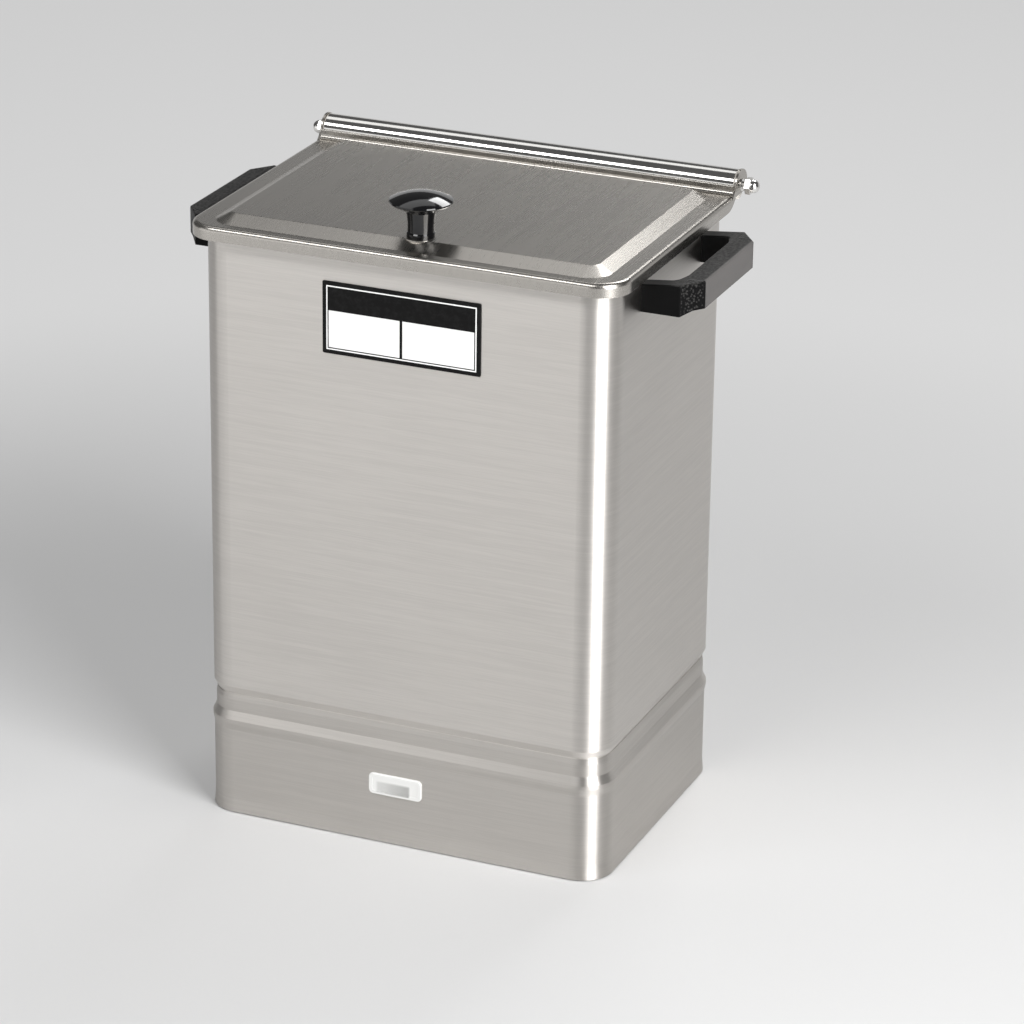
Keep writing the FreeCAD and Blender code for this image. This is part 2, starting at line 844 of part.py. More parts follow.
def handle_fasteners():
    """Screws from inside the tank into the handles' legs, with sealing washers."""
    wall = d.tank_half_width - d.tank_sheet
    thickness = size(1.2)
    screws, washers = [], []
    for k, y in enumerate(handle_screw_places()):
        head = screw(
            f"handle_screw_{k}", "YZ_Plane", y, handle_screw_height(), wall - thickness,
            d.handle_screw_radius, d.handle_screw_length, d.handle_screw_radius * 1.8, size(2.6),
        )
        screws.append(mirrored(head, Vector(1, 0, 0)))
        washer = new_body(f"handle_washer_{k}")
        sketch = new_sketch(washer, "YZ_Plane", wall - thickness)
        draw_circle(sketch, y, handle_screw_height(), d.handle_screw_radius * 2.2)
        draw_circle(sketch, y, handle_screw_height(), d.handle_screw_radius)
        pad(washer, sketch, thickness)
        washers.append(mirrored(washer, Vector(1, 0, 0)))
    for name, links in (("handle_screws", screws), ("handle_washers", washers)):
        group = doc.addObject("Part::Compound", f"{name}_group")
        group.Links = links
        piece(group, name)


# ---------------------------------------------------------------------------------------------------------
# Front plate and lamp
# ---------------------------------------------------------------------------------------------------------
def front_plate():
    """A thin bare plate on the tank's front."""
    body = new_body("front_plate")
    sketch = new_sketch(body, "XZ_Plane", tank_back)
    half_width, half_height = d.plate_width / 2, d.plate_height / 2
    left, right = d.plate_x - half_width, d.plate_x + half_width
    draw_rounded(sketch, left, right, d.plate_z - half_height, d.plate_z + half_height, size(1))
    pad(body, sketch, d.plate_thickness)
    face = -(tank_back + d.plate_thickness)
    chamfer(body, d.plate_thickness * 0.3, lambda e: abs(e.BoundBox.YMax - face.number) < 1e-4)
    return piece(body, "front_plate")


def lamp():
    """The pilot lamp: a framed lens that snaps into the band's front, and the lamp housing behind it."""
    body = new_body("lamp_lens")
    half_width, half_height = d.lamp_width / 2, d.lamp_height / 2

    def lens_outline(sketch, inset, corner):
        left, right = d.lamp_x - half_width + inset, d.lamp_x + half_width - inset
        return draw_rounded(sketch, left, right, d.lamp_z - half_height + inset, d.lamp_z + half_height - inset, corner)

    front = tank_back + d.lamp_proud
    pad(body, lens_outline(new_sketch(body, "XZ_Plane", tank_back), size(0), d.lamp_corner), d.lamp_proud)
    face = -front
    chamfer(body, d.lamp_proud * 0.4, lambda e: abs(e.BoundBox.YMax - face.number) < 1e-4)
    # The window lies a little below the frame.
    sketch = lens_outline(new_sketch(body, "XZ_Plane", front), d.lamp_flange * 1.9, size(1.2))
    pocket(body, sketch, d.lamp_proud * 0.35, along_normal=False)
    inset = d.lamp_flange + 0.1
    sketch = lens_outline(new_sketch(body, "XZ_Plane", tank_back), inset, d.lamp_corner - 1)
    pad(body, sketch, size(4), reverse=True)
    piece(body, "lamp_lens")

    body = new_body("lamp_body")
    rear = tank_back - 4
    sketch = lens_outline(new_sketch(body, "XZ_Plane", rear), inset + 0.8, d.lamp_corner - 1.5)
    pad(body, sketch, d.lamp_depth, reverse=True)
    sketch = new_sketch(body, "XZ_Plane", rear - d.lamp_depth)
    for side in (-1, 1):
        x = d.lamp_x + 6 * side
        draw_box(sketch, x - 2.4, x + 2.4, d.lamp_z - 0.4, d.lamp_z + 0.4)
    pad(body, sketch, size(7), reverse=True)
    piece(body, "lamp_body")


# ---------------------------------------------------------------------------------------------------------
# Hinge
# ---------------------------------------------------------------------------------------------------------
ear_inner = lid_half_width - d.lid_sheet
bush_face = ear_inner - d.ear_side_gap
tube_half_length = bush_face - d.bush_flange


def hinge_tube():
    """The polished tube on top of the tank's back wall."""
    body = new_body("hinge_tube")
    sketch = draw_circle(new_sketch(body, "YZ_Plane"), d.hinge_y, d.hinge_z, d.tube_radius)
    draw_circle(sketch, d.hinge_y, d.hinge_z, d.tube_radius - d.tube_wall)
    pad(body, sketch, tube_half_length * 2, both_ways=True)
    return piece(body, "hinge_tube")


def ring(body, start, outer, inner, length):
    """A round collar about the hinge's axis, from start along +X."""
    sketch = draw_circle(new_sketch(body, "YZ_Plane", start), d.hinge_y, d.hinge_z, outer)
    draw_circle(sketch, d.hinge_y, d.hinge_z, inner)
    return pad(body, sketch, length)


def hinge_bushes():
    """Flanged nylon bushes in the tube's ends, which the rod turns in."""
    body = new_body("hinge_bush")
    bore = d.rod_radius + d.rod_running_gap
    ring(body, tube_half_length - d.bush_length, d.tube_radius - d.tube_wall, bore, d.bush_length)
    ring(body, tube_half_length, d.tube_radius - 0.4, bore, d.bush_flange)
    return piece(mirrored(body, Vector(1, 0, 0)), "hinge_bushes")


def nut_start(side):
    """Where a nut begins: the right one stands off a little on the rod."""
    slack = d.rod_slack if side > 0 else size(0)
    return lid_half_width + d.washer_thickness + slack


def hinge_rod():
    """The rod through both ears, held by the nuts on its ends."""
    body = new_body("hinge_rod")
    inside_nut = d.nut_length - d.nut_dome_radius
    left = -(nut_start(-1) + inside_nut)
    right = nut_start(1) + inside_nut
    sketch = draw_circle(new_sketch(body, "YZ_Plane", left), d.hinge_y, d.hinge_z, d.rod_radius)
    pad(body, sketch, right - left)
    chamfer(body, d.rod_radius * 0.25, lambda e: e.BoundBox.XLength < 1e-4)
    return piece(body, "hinge_rod")


def hinge_washers():
    """Plain washers between the ears and the nuts."""
    body = new_body("hinge_washer")
    ring(body, lid_half_width, d.washer_radius, d.rod_radius, d.washer_thickness)
    return piece(mirrored(body, Vector(1, 0, 0)), "hinge_washers")


def acorn_nut(side):
    """A hexagon nut with a domed end, drawn along the hinge's axis."""
    body = new_body("acorn_nut")
    start = nut_start(side)
    sketch = draw_hexagon(new_sketch(body, "YZ_Plane", start), d.hinge_y, d.hinge_z, d.nut_across_flats)
    pad(body, sketch, d.nut_hex_length)
    neck = d.nut_length - d.nut_dome_radius
    sketch = draw_circle(new_sketch(body, "YZ_Plane", start), d.hinge_y, d.hinge_z, d.nut_dome_radius)
    pad(body, sketch, d.nut_length)
    end = start + d.nut_length
    fillet(body, d.nut_dome_radius * 0.98, lambda e: abs(e.BoundBox.XMin - end.number) < 1e-4)
    sketch = draw_circle(new_sketch(body, "YZ_Plane", start), d.hinge_y, d.hinge_z, d.rod_radius)
    pocket(body, sketch, neck)
    return body


def acorn_nuts():
    """One nut on each end of the rod."""
    left = doc.addObject("Part::Mirroring", "acorn_nut_left")
    left.Source = acorn_nut(-1)
    left.Normal = Vector(1, 0, 0)
    pair = doc.addObject("Part::Compound", "acorn_nut_pair")
    pair.Links = [left, acorn_nut(1)]
    return piece(pair, "acorn_nuts")


# ---------------------------------------------------------------------------------------------------------
# Lid and knob
# ---------------------------------------------------------------------------------------------------------
def lid():
    """The drawn lid: raised panel, rounded edge, side skirts that sweep up into hinge ears, upturned rear lip."""
    body = new_body("lid")
    t = d.lid_sheet
    lip_back = d.hinge_y - d.tube_radius - d.lip_gap
    lid_width = lid_half_width

    # Pan with rounded front corners and a rounded edge.
    sketch = new_sketch(body, "XY_Plane", lid_bottom)
    corner = d.lid_corner
    draw(
        sketch,
        [
            (lid_width - corner, lid_front), (lid_width, lid_front + corner, corner, 1),
            (lid_width, lip_back), (-lid_width, lip_back),
            (-lid_width, lid_front + corner), (-lid_width + corner, lid_front, corner, 1),
        ],
    )
    pad(body, sketch, d.lid_skirt_depth)
    fillet(body, d.lid_edge_round, lambda e: level(e, d.lid_top) and middle(e).y < lip_back.number - 1)

    # Raised panel: a sloped step all round, with a flat round pad where the knob overhangs its front edge.
    def panel_outline(height, up, shrink, corner):
        """The panel's outline, at its foot for up = 0 and at its top for up = 1."""
        sketch = new_sketch(body, "XY_Plane", height)
        half = lid_width - d.panel_margin - d.panel_slope * up - shrink
        front = lid_front + d.panel_front_margin + d.panel_front_slope * up + shrink
        back = lip_back - d.panel_rear_margin - d.panel_slope * up - shrink
        return draw_rounded(sketch, -half, half, front, back, corner - shrink)

    panel_top = d.lid_top + d.panel_rise
    foot = panel_outline(d.lid_top, 0, size(0), d.panel_foot_corner)
    loft(body, [foot, panel_outline(panel_top, 1, size(0), d.panel_corner)])
    fillet(body, d.panel_edge_round, lambda e: level(e, panel_top))
    sketch = draw_circle(new_sketch(body, "XY_Plane", d.lid_top - t / 2), d.knob_x, d.knob_y, d.knob_pad_radius)
    pad(body, sketch, d.panel_rise + t / 2)

    # Upturned lip in front of the hinge tube.
    sketch = new_sketch(body, "YZ_Plane")
    cove = d.lip_cove
    lip_front, lip_top = lip_back - t, d.lid_top + d.lip_rise
    draw(
        sketch,
        [
            (lip_back, d.lid_top - t), (lip_back, lip_top - t / 2), (lip_back - t / 2, lip_top, t / 2, 1),
            (lip_front, lip_top - t / 2, t / 2, 1), (lip_front, d.lid_top + cove),
            (lip_front - cove, d.lid_top, cove, -1), (lip_front - cove, d.lid_top - t),
        ],
    )
    pad(body, sketch, ear_inner * 2, both_ways=True)

    # Hollow underneath, open at the back.
    sketch = new_sketch(body, "XY_Plane", lid_bottom)
    inner, front, corner = lid_width - t, lid_front + t, d.lid_corner - t
    draw(
        sketch,
        [
            (inner - corner, front), (inner, front + corner, corner, 1), (inner, lip_back + 1),
            (-inner, lip_back + 1), (-inner, front + corner), (-inner + corner, front, corner, 1),
        ],
    )
    pocket(body, sketch, d.lid_skirt_depth - t)
    shrink = t * 0.2
    foot = panel_outline(d.lid_top - t, 0, shrink, d.panel_foot_corner)
    loft(body, [foot, panel_outline(panel_top - t, 1, shrink, d.panel_corner)], cut=True)

    # Side plates: the skirt's round heel and the ear round the hinge's axis.
    neck = d.hinge_z - d.ear_neck_drop
    across = root(ear_radius * ear_radius - d.ear_neck_drop * d.ear_neck_drop)
    heel = d.ear_heel_radius
    rise = neck - lid_bottom
    run = root(heel * heel - (heel - rise) * (heel - rise))
    heel_y = d.hinge_y - d.ear_heel_run
    edge_foot = d.lid_top - d.lid_edge_round
    for side in (-1, 1):
        start = ear_inner if side > 0 else -lid_half_width
        sketch = new_sketch(body, "YZ_Plane", start)
        draw(
            sketch,
            [
                (heel_y - 20, lid_bottom), (heel_y, lid_bottom),
                (heel_y + run, neck, heel, 1), (d.hinge_y + across, neck),
                (d.hinge_y, d.hinge_z + ear_radius, ear_radius, 1),
                (d.hinge_y - ear_radius, d.hinge_z, ear_radius, 1),
                (d.hinge_y - d.ear_rise_run, edge_foot), (heel_y - 20, edge_foot),
            ],
        )
        pad(body, sketch, t)

    # The pan's own skirts end at the heel, so what is left of them behind it is cut away.
    sketch = new_sketch(body, "YZ_Plane")
    draw(
        sketch,
        [
            (heel_y, lid_bottom), (heel_y + run, neck, heel, 1),
            (lip_back + 1, neck), (lip_back + 1, lid_bottom),
        ],
    )
    pocket(body, sketch, lid_half_width * 3, both_ways=True)

    # Holes for the rod and the knob's screw.
    sketch = draw_circle(new_sketch(body, "YZ_Plane"), d.hinge_y, d.hinge_z, d.rod_radius)
    pocket(body, sketch, lid_half_width * 3, both_ways=True)
    sketch = draw_circle(new_sketch(body, "XY_Plane", d.lid_top - t), d.knob_x, d.knob_y, d.knob_screw_radius)
    pocket(body, sketch, d.panel_rise + t)
    return piece(body, "lid")


def knob():
    """A mushroom knob: domed cap with a thin rim, waisted stem and a collar at its foot."""
    body = new_body("knob")
    seat = d.lid_top + d.panel_rise
    rim, cap = d.knob_radius, d.knob_height
    top, foot = d.knob_stem_top_radius, d.knob_stem_radius
    under = d.knob_rim_height - d.knob_rim_thickness
    dome = cap - d.knob_rim_height
    crown = rim - 0.2
    dome_radius = (crown * crown + dome * dome) / (dome * 2)
    sketch = new_sketch(body, "XZ_Plane")
    draw(
        sketch,
        [
            (size(0), size(0)), (foot + 0.6, size(0)), (foot + 0.6, d.knob_collar_height - 0.8),
            (foot, d.knob_collar_height), (top, under - 5, d.knob_height * 2, -1),
            (rim - 1, under), (rim, under + 1), (crown, d.knob_rim_height), (size(0), cap, dome_radius, 1),
        ],
    )
    revolve(body, sketch)
    sketch = draw_circle(new_sketch(body, "XY_Plane"), size(0), size(0), d.knob_screw_radius)
    pocket(body, sketch, d.knob_screw_length - d.lid_sheet)
    bind(body, "Placement.Base.x", d.knob_x)
    bind(body, "Placement.Base.y", d.knob_y)
    bind(body, "Placement.Base.z", seat)
    piece(seated(body), "lid_knob")

    body = screw(
        "knob_screw", "XY_Plane", d.knob_x, d.knob_y, seat - d.lid_sheet, d.knob_screw_radius,
        d.knob_screw_length - 0.5, d.knob_screw_radius * 1.8, size(2.4),
    )
    piece(body, "knob_screw")


# ---------------------------------------------------------------------------------------------------------
# Heater and controls in the base
# ---------------------------------------------------------------------------------------------------------
def mitred_run(corners, radius):
    """A thin round tube along straight runs that meet at mitres."""
    points = [Vector(*[size(v).number for v in corner]) for corner in corners]
    ends = Part.Wire(Part.Circle(points[0], points[1] - points[0], radius.number).toShape())
    return Part.makePolygon(points).makePipeShell([ends], True, True, 1)


def rounded_run(corners, bends, radius):
    """A round bar along straight runs, with an arc of the given radius at each inner corner."""
    points = [Vector(*[size(v).number for v in corner]) for corner in corners]
    edges = []
    start = points[0]
    for k in range(1, len(points) - 1):
        corner = points[k]
        back = (points[k - 1] - corner).normalize()
        ahead = (points[k + 1] - corner).normalize()
        half = back.getAngle(ahead) / 2
        reach = bends[k - 1].number / math.tan(half)
        first, last = corner + back * reach, corner + ahead * reach
        centre = corner + (back + ahead).normalize() * (bends[k - 1].number / math.sin(half))
        crown = centre + (corner - centre).normalize() * bends[k - 1].number
        if (first - start).Length > 1e-6:
            edges.append(Part.LineSegment(start, first).toShape())
        edges.append(Part.Arc(first, crown, last).toShape())
        start = last
    edges.append(Part.LineSegment(start, points[-1]).toShape())
    path = Part.Wire(edges)
    ends = Part.Wire(Part.Circle(points[0], points[1] - points[0], radius.number).toShape())
    return path.makePipeShell([ends], True, True)


def shaped(name, shapes):
    """A piece whose shape is made of bars bent in space."""
    item = doc.addObject("Part::Feature", name)
    item.Shape = Part.makeCompound(shapes) if len(shapes) > 1 else shapes[0]
    return piece(item, name)


def heating_element():
    """A sheathed immersion element: a flat hairpin above the tank's floor, with both ends down through it."""
    height = d.tank_bottom + d.tank_sheet + d.element_height
    low = d.tank_bottom - 16
    far, span, bend = d.tank_half_width - d.element_far_inset, d.element_half_span, d.element_bend
    corners = [
        (element_x, -span, low), (element_x, -span, height), (far + span, -span, height),
        (far + span, span, height), (element_x, span, height), (element_x, span, low),
    ]
    bar = rounded_run(corners, [bend, span * 0.98, span * 0.98, bend], d.element_radius)
    return shaped("heating_element", [bar])


def element_seals():
    """Brass bushings on the element's ends, with a gasket on the floor and a nut below it."""
    floor = d.tank_bottom + d.tank_sheet
    fitting = new_body("element_fitting")
    place = (element_x, d.element_half_span)
    flange_foot = floor + d.gasket_thickness
    sketch = draw_circle(new_sketch(fitting, "XY_Plane", flange_foot), *place, d.fitting_flange_radius)
    pad(fitting, sketch, d.fitting_flange_height)
    foot = d.tank_bottom - d.fitting_thread
    sketch = draw_circle(new_sketch(fitting, "XY_Plane", foot), *place, d.fitting_radius)
    pad(fitting, sketch, flange_foot - foot)
    sketch = draw_circle(new_sketch(fitting, "XY_Plane", foot), *place, d.element_radius)
    pocket(fitting, sketch, flange_foot - foot + d.fitting_flange_height * 2)
    piece(mirrored(fitting, Vector(0, 1, 0)), "element_fittings")

    gasket = new_body("element_gasket")
    sketch = draw_circle(new_sketch(gasket, "XY_Plane", floor), *place, d.fitting_flange_radius)
    draw_circle(sketch, *place, d.fitting_radius)
    pad(gasket, sketch, d.gasket_thickness)
    piece(mirrored(gasket, Vector(0, 1, 0)), "element_gaskets")

    nut = new_body("element_nut")
    sketch = draw_hexagon(new_sketch(nut, "XY_Plane", d.tank_bottom), *place, d.fitting_radius * 3.1)
    draw_circle(sketch, *place, d.fitting_radius)
    pad(nut, sketch, d.element_nut_height, reverse=True)
    piece(mirrored(nut, Vector(0, 1, 0)), "element_nuts")

    terminal = new_body("element_terminal")
    top = d.tank_bottom - d.terminal_drop
    sketch = draw_circle(new_sketch(terminal, "XY_Plane", top), *place, d.element_radius * 0.4)
    pad(terminal, sketch, d.terminal_length, reverse=True)
    piece(mirrored(terminal, Vector(0, 1, 0)), "element_terminals")


def thermostat():
    """The capillary thermostat on its bridge, and the slotted spindle that is set through the bottom plate."""
    x, y, half = thermostat_x, d.thermostat_y, d.thermostat_half_width
    bottom, seat = d.thermostat_bottom, d.bottom_plate_z + d.bottom_plate_sheet
    bore = d.spindle_radius + d.rod_running_gap

    body = new_body("thermostat_body")
    sketch = new_sketch(body, "XY_Plane", bottom)
    draw_rounded(sketch, x - half, x + half, y - half, y + half, size(3))
    pad(body, sketch, d.thermostat_height * 0.6)
    sketch = draw_circle(new_sketch(body, "XY_Plane", bottom + d.thermostat_height * 0.6), x, y, half - 2)
    pad(body, sketch, d.thermostat_height * 0.4)
    sketch = draw_circle(new_sketch(body, "XY_Plane", bottom), x, y, bore)
    pocket(body, sketch, d.spindle_entry + 0.3)
    piece(body, "thermostat_body")

    bridge = new_body("thermostat_bracket")
    t = d.bottom_plate_sheet
    sketch = new_sketch(bridge, "XZ_Plane", -(y + half * 0.6))
    outer = half + t
    foot = outer + 9
    draw(
        sketch,
        [
            (x - foot, seat), (x - outer + t, seat), (x - outer + t, bottom - t), (x + outer - t, bottom - t),
            (x + outer - t, seat), (x + foot, seat), (x + foot, seat + t), (x + outer, seat + t),
            (x + outer, bottom), (x - outer, bottom), (x - outer, seat + t), (x - foot, seat + t),
        ],
    )
    pad(bridge, sketch, half * 1.2)
    sketch = draw_circle(new_sketch(bridge, "XY_Plane", bottom), x, y, d.spindle_radius + 1)
    pocket(bridge, sketch, t, along_normal=False)
    piece(bridge, "thermostat_bracket")

    spindle = new_body("thermostat_spindle")
    sketch = draw_circle(new_sketch(spindle, "XY_Plane", d.spindle_bottom), x, y, d.spindle_radius)
    pad(spindle, sketch, bottom + d.spindle_entry - d.spindle_bottom)
    sketch = new_sketch(spindle, "XY_Plane", d.spindle_bottom)
    draw_box(sketch, x - d.spindle_radius - 1, x + d.spindle_radius + 1, y - 0.6, y + 0.6)
    pocket(spindle, sketch, 2.0)
    piece(spindle, "thermostat_spindle")


def thermostat_bulb():
    """The sensing bulb under the tank's floor, and the capillary tube from it to the thermostat."""
    z = d.tank_bottom - d.bulb_radius
    start = Vector(bulb_x.number, d.bulb_y.number, z.number)
    bulb = Part.makeCylinder(d.bulb_radius.number, d.bulb_length.number, start, Vector(1, 0, 0))
    head = d.thermostat_bottom + d.thermostat_height
    crest, drop = head + 6, thermostat_x - 10
    loop = [
        (bulb_x + d.bulb_length, d.bulb_y, z), (drop, d.bulb_y, z), (drop, d.bulb_y, crest),
        (drop, d.thermostat_y, crest), (drop, d.thermostat_y, head),
    ]
    tube = mitred_run(loop, d.capillary_radius)
    return shaped("thermostat_bulb", [bulb.fuse(tube)])


def bulb_clips():
    """Two saddle clips that press the bulb to the tank's floor."""
    clips = []
    for k, x in enumerate((bulb_x + d.bulb_length * 0.225, bulb_x + d.bulb_length * 0.775)):
        clip = new_body(f"bulb_clip_{k}")
        sketch = new_sketch(clip, "YZ_Plane", x)
        r, t, ear, top = d.bulb_radius, d.clip_sheet, d.clip_ear, d.tank_bottom
        y = d.bulb_y
        z = d.tank_bottom - r
        draw(
            sketch,
            [
                (y - r - ear, top), (y - r - ear, top - t), (y - r - t, top - t), (y - r - t, z),
                (y, z - r - t, r + t, 1), (y + r + t, z, r + t, 1), (y + r + t, top - t),
                (y + r + ear, top - t), (y + r + ear, top), (y + r, top), (y + r, z),
                (y, z - r, r, -1), (y - r, z, r, -1), (y - r, top),
            ],
        )
        pad(clip, sketch, d.clip_width)
        clips.append(clip)
    group = doc.addObject("Part::Compound", "bulb_clip_group")
    group.Links = clips
    return piece(group, "bulb_clips")


def terminal_block():
    """A barrier terminal strip on the bottom plate."""
    body = new_body("terminal_block")
    seat = d.bottom_plate_z + d.bottom_plate_sheet
    pitch, width = d.block_pitch, d.block_width
    x, y = d.block_inset_x - d.tank_half_width, d.block_inset_y - tank_back
    sketch = new_sketch(body, "XY_Plane", seat)
    draw_box(sketch, x, x + pitch * 4 + 2, y, y + width)
    pad(body, sketch, 9.0)
    sketch = new_sketch(body, "XY_Plane", seat + 9)
    for k in range(5):
        draw_box(sketch, x + pitch * k, x + pitch * k + 2, y, y + width)
    pad(body, sketch, 6.0)
    piece(body, "terminal_block")

    screws = []
    for k in range(4):
        for row in (1, 3):
            place = (x + pitch * k + pitch * 0.5 + 1, y + width * row / 4)
            head = new_body(f"terminal_screw_{k}_{row}")
            pad(head, draw_circle(new_sketch(head, "XY_Plane", seat + 9), *place, size(3)), 2.2)
            screws.append(head)
    group = doc.addObject("Part::Compound", "terminal_screw_group")
    group.Links = screws
    piece(group, "terminal_screws")


def thermal_cutout():
    """A snap disc cut-out under the tank's floor, with two blade terminals."""
    body = new_body("thermal_cutout")
    x, y, top = d.cutout_x, d.cutout_y, d.tank_bottom
    pad(body, draw_circle(new_sketch(body, "XY_Plane", top), x, y, size(8)), 3.0, reverse=True)
    pad(body, draw_circle(new_sketch(body, "XY_Plane", top - 3), x, y, size(7)), 7.0, reverse=True)
    sketch = new_sketch(body, "XY_Plane", top - 10)
    for side in (-1, 1):
        draw_box(sketch, x + 4 * side - 0.4, x + 4 * side + 0.4, y - 2.4, y + 2.4)
    pad(body, sketch, 7.0, reverse=True)
    sketch = new_sketch(body, "XY_Plane", top - 1)
    draw_box(sketch, x - 14, x + 14, y - 4, y + 4)
    pad(body, sketch, 1.0)
    return piece(body, "thermal_cutout")


def earth_stud():
    """The earthing screw on the bottom plate."""
    body = new_body("earth_stud")
    x, y, seat = d.earth_x, d.earth_y, d.bottom_plate_z + d.bottom_plate_sheet
    pad(body, draw_circle(new_sketch(body, "XY_Plane", seat), x, y, size(2)), 12.0)
    pad(body, draw_hexagon(new_sketch(body, "XY_Plane", seat), x, y, size(7)), 3.2)
    return piece(body, "earth_stud")


# ---------------------------------------------------------------------------------------------------------
# Wire rack
# ---------------------------------------------------------------------------------------------------------
def wire(start, end):
    """One straight wire of the rack."""
    first, last = (Vector(*[size(v).number for v in point]) for point in (start, end))
    return Part.makeCylinder(d.wire_radius.number, (last - first).Length, first, last - first)


def rack():
    """The lift-out rack: a wire floor above the element, and side combs that hold the packs apart."""
    floor = d.tank_bottom + d.tank_sheet
    shelf = floor + d.rack_floor_height
    wide, deep, r = d.tank_half_width - d.rack_inset_x, tank_back - d.rack_inset_y, d.wire_radius
    rows = range(8)
    step = deep * 2 / rows[-1]
    shelf_wires = []
    for k in rows:
        y = step * k - deep
        shelf_wires.append(wire((-wide + r, y, shelf), (wide - r, y, shelf)))
    for k in (-1, 0, 1):
        x = wide * 0.6 * k
        shelf_wires.append(wire((x, -deep - r, shelf - r * 2), (x, deep + r, shelf - r * 2)))
    shaped("rack_floor", shelf_wires)

    combs = []
    for side in (-1, 1):
        for k in rows:
            y = step * k - deep
            low = floor if k in (rows[1], rows[-2]) else shelf - r
            combs.append(wire((wide * side, y, low), (wide * side, y, d.rack_top - r)))
        combs.append(wire((wide * side, -deep - r, d.rack_top), (wide * side, deep + r, d.rack_top)))
    shaped("rack_sides", combs)


# ---------------------------------------------------------------------------------------------------------
# Build, check and write
# ---------------------------------------------------------------------------------------------------------
def build():
    """Make every piece."""
    for make in (
        tank, base_band, bottom_plate, plate_brackets, bottom_screws, feet, foot_screws, foot_nuts, cord_gland,
        handles, handle_fasteners, front_plate, lamp, hinge_tube, hinge_bushes, hinge_rod, hinge_washers,
        acorn_nuts, lid, knob, heating_element, element_seals, thermostat, thermostat_bulb, bulb_clips,
        terminal_block, thermal_cutout, earth_stud, rack,
    ):
        make()
    doc.recompute()


def check_and_write():
    """Stop on any failed feature or bad shape, then write one STEP file for each piece."""
    for item in doc.Objects:
        if "Invalid" in item.State or "Error" in item.State:
            raise RuntimeError(f"{item.Label} failed: {item.State}")
    for item in PIECES:
        if item.Shape.isNull() or not item.Shape.isValid() or not item.Shape.Solids:
            raise RuntimeError(f"{item.Label} has a bad shape")
    for item in PIECES:
        item.Shape.exportStep(f"parts/{item.Label}.step")
        box = item.Shape.BoundBox
        print(f"{item.Label:22s} {len(item.Shape.Solids):3d} {item.Shape.Volume:12.1f}  "
              f"{box.XMin:7.1f} {box.XMax:7.1f} {box.YMin:7.1f} {box.YMax:7.1f} {box.ZMin:6.1f} {box.ZMax:6.1f}")


build()
check_and_write()
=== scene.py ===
"""Hot pack heater: its finishes, its screws and welds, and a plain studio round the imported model."""

import math

import bmesh
import bpy
from mathutils import Matrix, Vector


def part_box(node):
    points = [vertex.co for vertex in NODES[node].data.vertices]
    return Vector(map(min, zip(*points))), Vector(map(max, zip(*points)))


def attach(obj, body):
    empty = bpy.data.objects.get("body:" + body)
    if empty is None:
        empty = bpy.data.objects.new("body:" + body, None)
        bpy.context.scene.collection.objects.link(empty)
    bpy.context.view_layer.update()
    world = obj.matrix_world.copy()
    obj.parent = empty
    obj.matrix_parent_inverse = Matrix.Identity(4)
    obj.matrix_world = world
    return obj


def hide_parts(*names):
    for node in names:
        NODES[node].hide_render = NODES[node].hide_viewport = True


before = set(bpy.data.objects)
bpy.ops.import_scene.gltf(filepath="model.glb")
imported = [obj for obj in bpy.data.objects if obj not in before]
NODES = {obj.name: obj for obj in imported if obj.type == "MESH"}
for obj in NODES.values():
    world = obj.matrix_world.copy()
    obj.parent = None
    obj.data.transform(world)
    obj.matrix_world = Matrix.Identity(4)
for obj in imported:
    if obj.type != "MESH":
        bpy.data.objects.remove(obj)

bl_info = {
    "name": "Hot pack heater",
    "version": (1, 0, 0),
    "blender": (4, 5, 0),
    "location": "3D View > Sidebar > Heater",
    "description": "Dresses the packed hot pack heater in its finishes and sets up its studio",
    "category": "Object",
}

# Lengths are in metres and powers in watts. The rim's front edge lies RIM_FRONT ahead of the tank's middle.
# TANK_SHIFT is where that middle lies along Y, since the origin is the middle of the whole footprint.
RIM_FRONT = 0.1014
TANK_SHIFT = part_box("tank")[0].y + RIM_FRONT

# The handles: their middle along Y, and where each face begins and ends, outward, along and upward.
HANDLE_MIDDLE = 0.0012
CORNER_OUT, CORNER_ALONG = (0.1584, 0.1592), (0.0412, 0.0424)
GRIP_OUT, GRIP_ALONG = (0.1672, 0.1682), (0.0396, 0.0412)
TOP_UP, TOP_OUT = (0.3744, 0.3752), (0.1400, 0.1560)

# The lens's window: its left, right, lower and upper edges, each a soft step from the lens's middle.
WINDOW_LEFT, WINDOW_RIGHT = (-0.0138, -0.0112), (0.0088, 0.0104)
WINDOW_BOTTOM, WINDOW_TOP = (-0.0060, -0.0050), (0.0006, 0.0026)
WINDOW_SHADE = (-0.016, 0.010)

# The front plate: margin round the border, the border's width, the gap inside it, half the gap between the
# fields, their top edge, and half the softness of every edge.
PLATE_MARGIN = 0.0026
BORDER_WIDTH = 0.0008
BORDER_GAP = 0.0007
FIELD_GAP = 0.0009
FIELD_TOP = 0.0045
INK_EDGE = 0.00006

# Screws: head radius, head height and shank radius. The handle screws take their radius from the frame.
FLOOR_SCREWS = {"plate_screws": (0.00323, 0.0016, 0.0017), "foot_screws": (0.0038, 0.0022, 0.0020)}
HANDLE_SCREW_HEAD, HANDLE_SCREW_SHANK, HANDLE_SCREW_LENGTH = 0.0026, 0.0025, 0.018

# The rack: the wire's radius, how many wires cross each rail, and the outer runners' spacing in half widths.
WIRE = 0.002
CROSS_WIRES = 8
RUNNER_SPREAD = 1.2

# The paper sweep: its flat part's front and back edges, half width, curve radius, height and curve segments.
SWEEP_FRONT, SWEEP_REACH, SWEEP_HALF_WIDTH = -4.0, 3.2, 6.0
SWEEP_RADIUS, SWEEP_RISE, SWEEP_SEGMENTS = 0.9, 1.9, 12

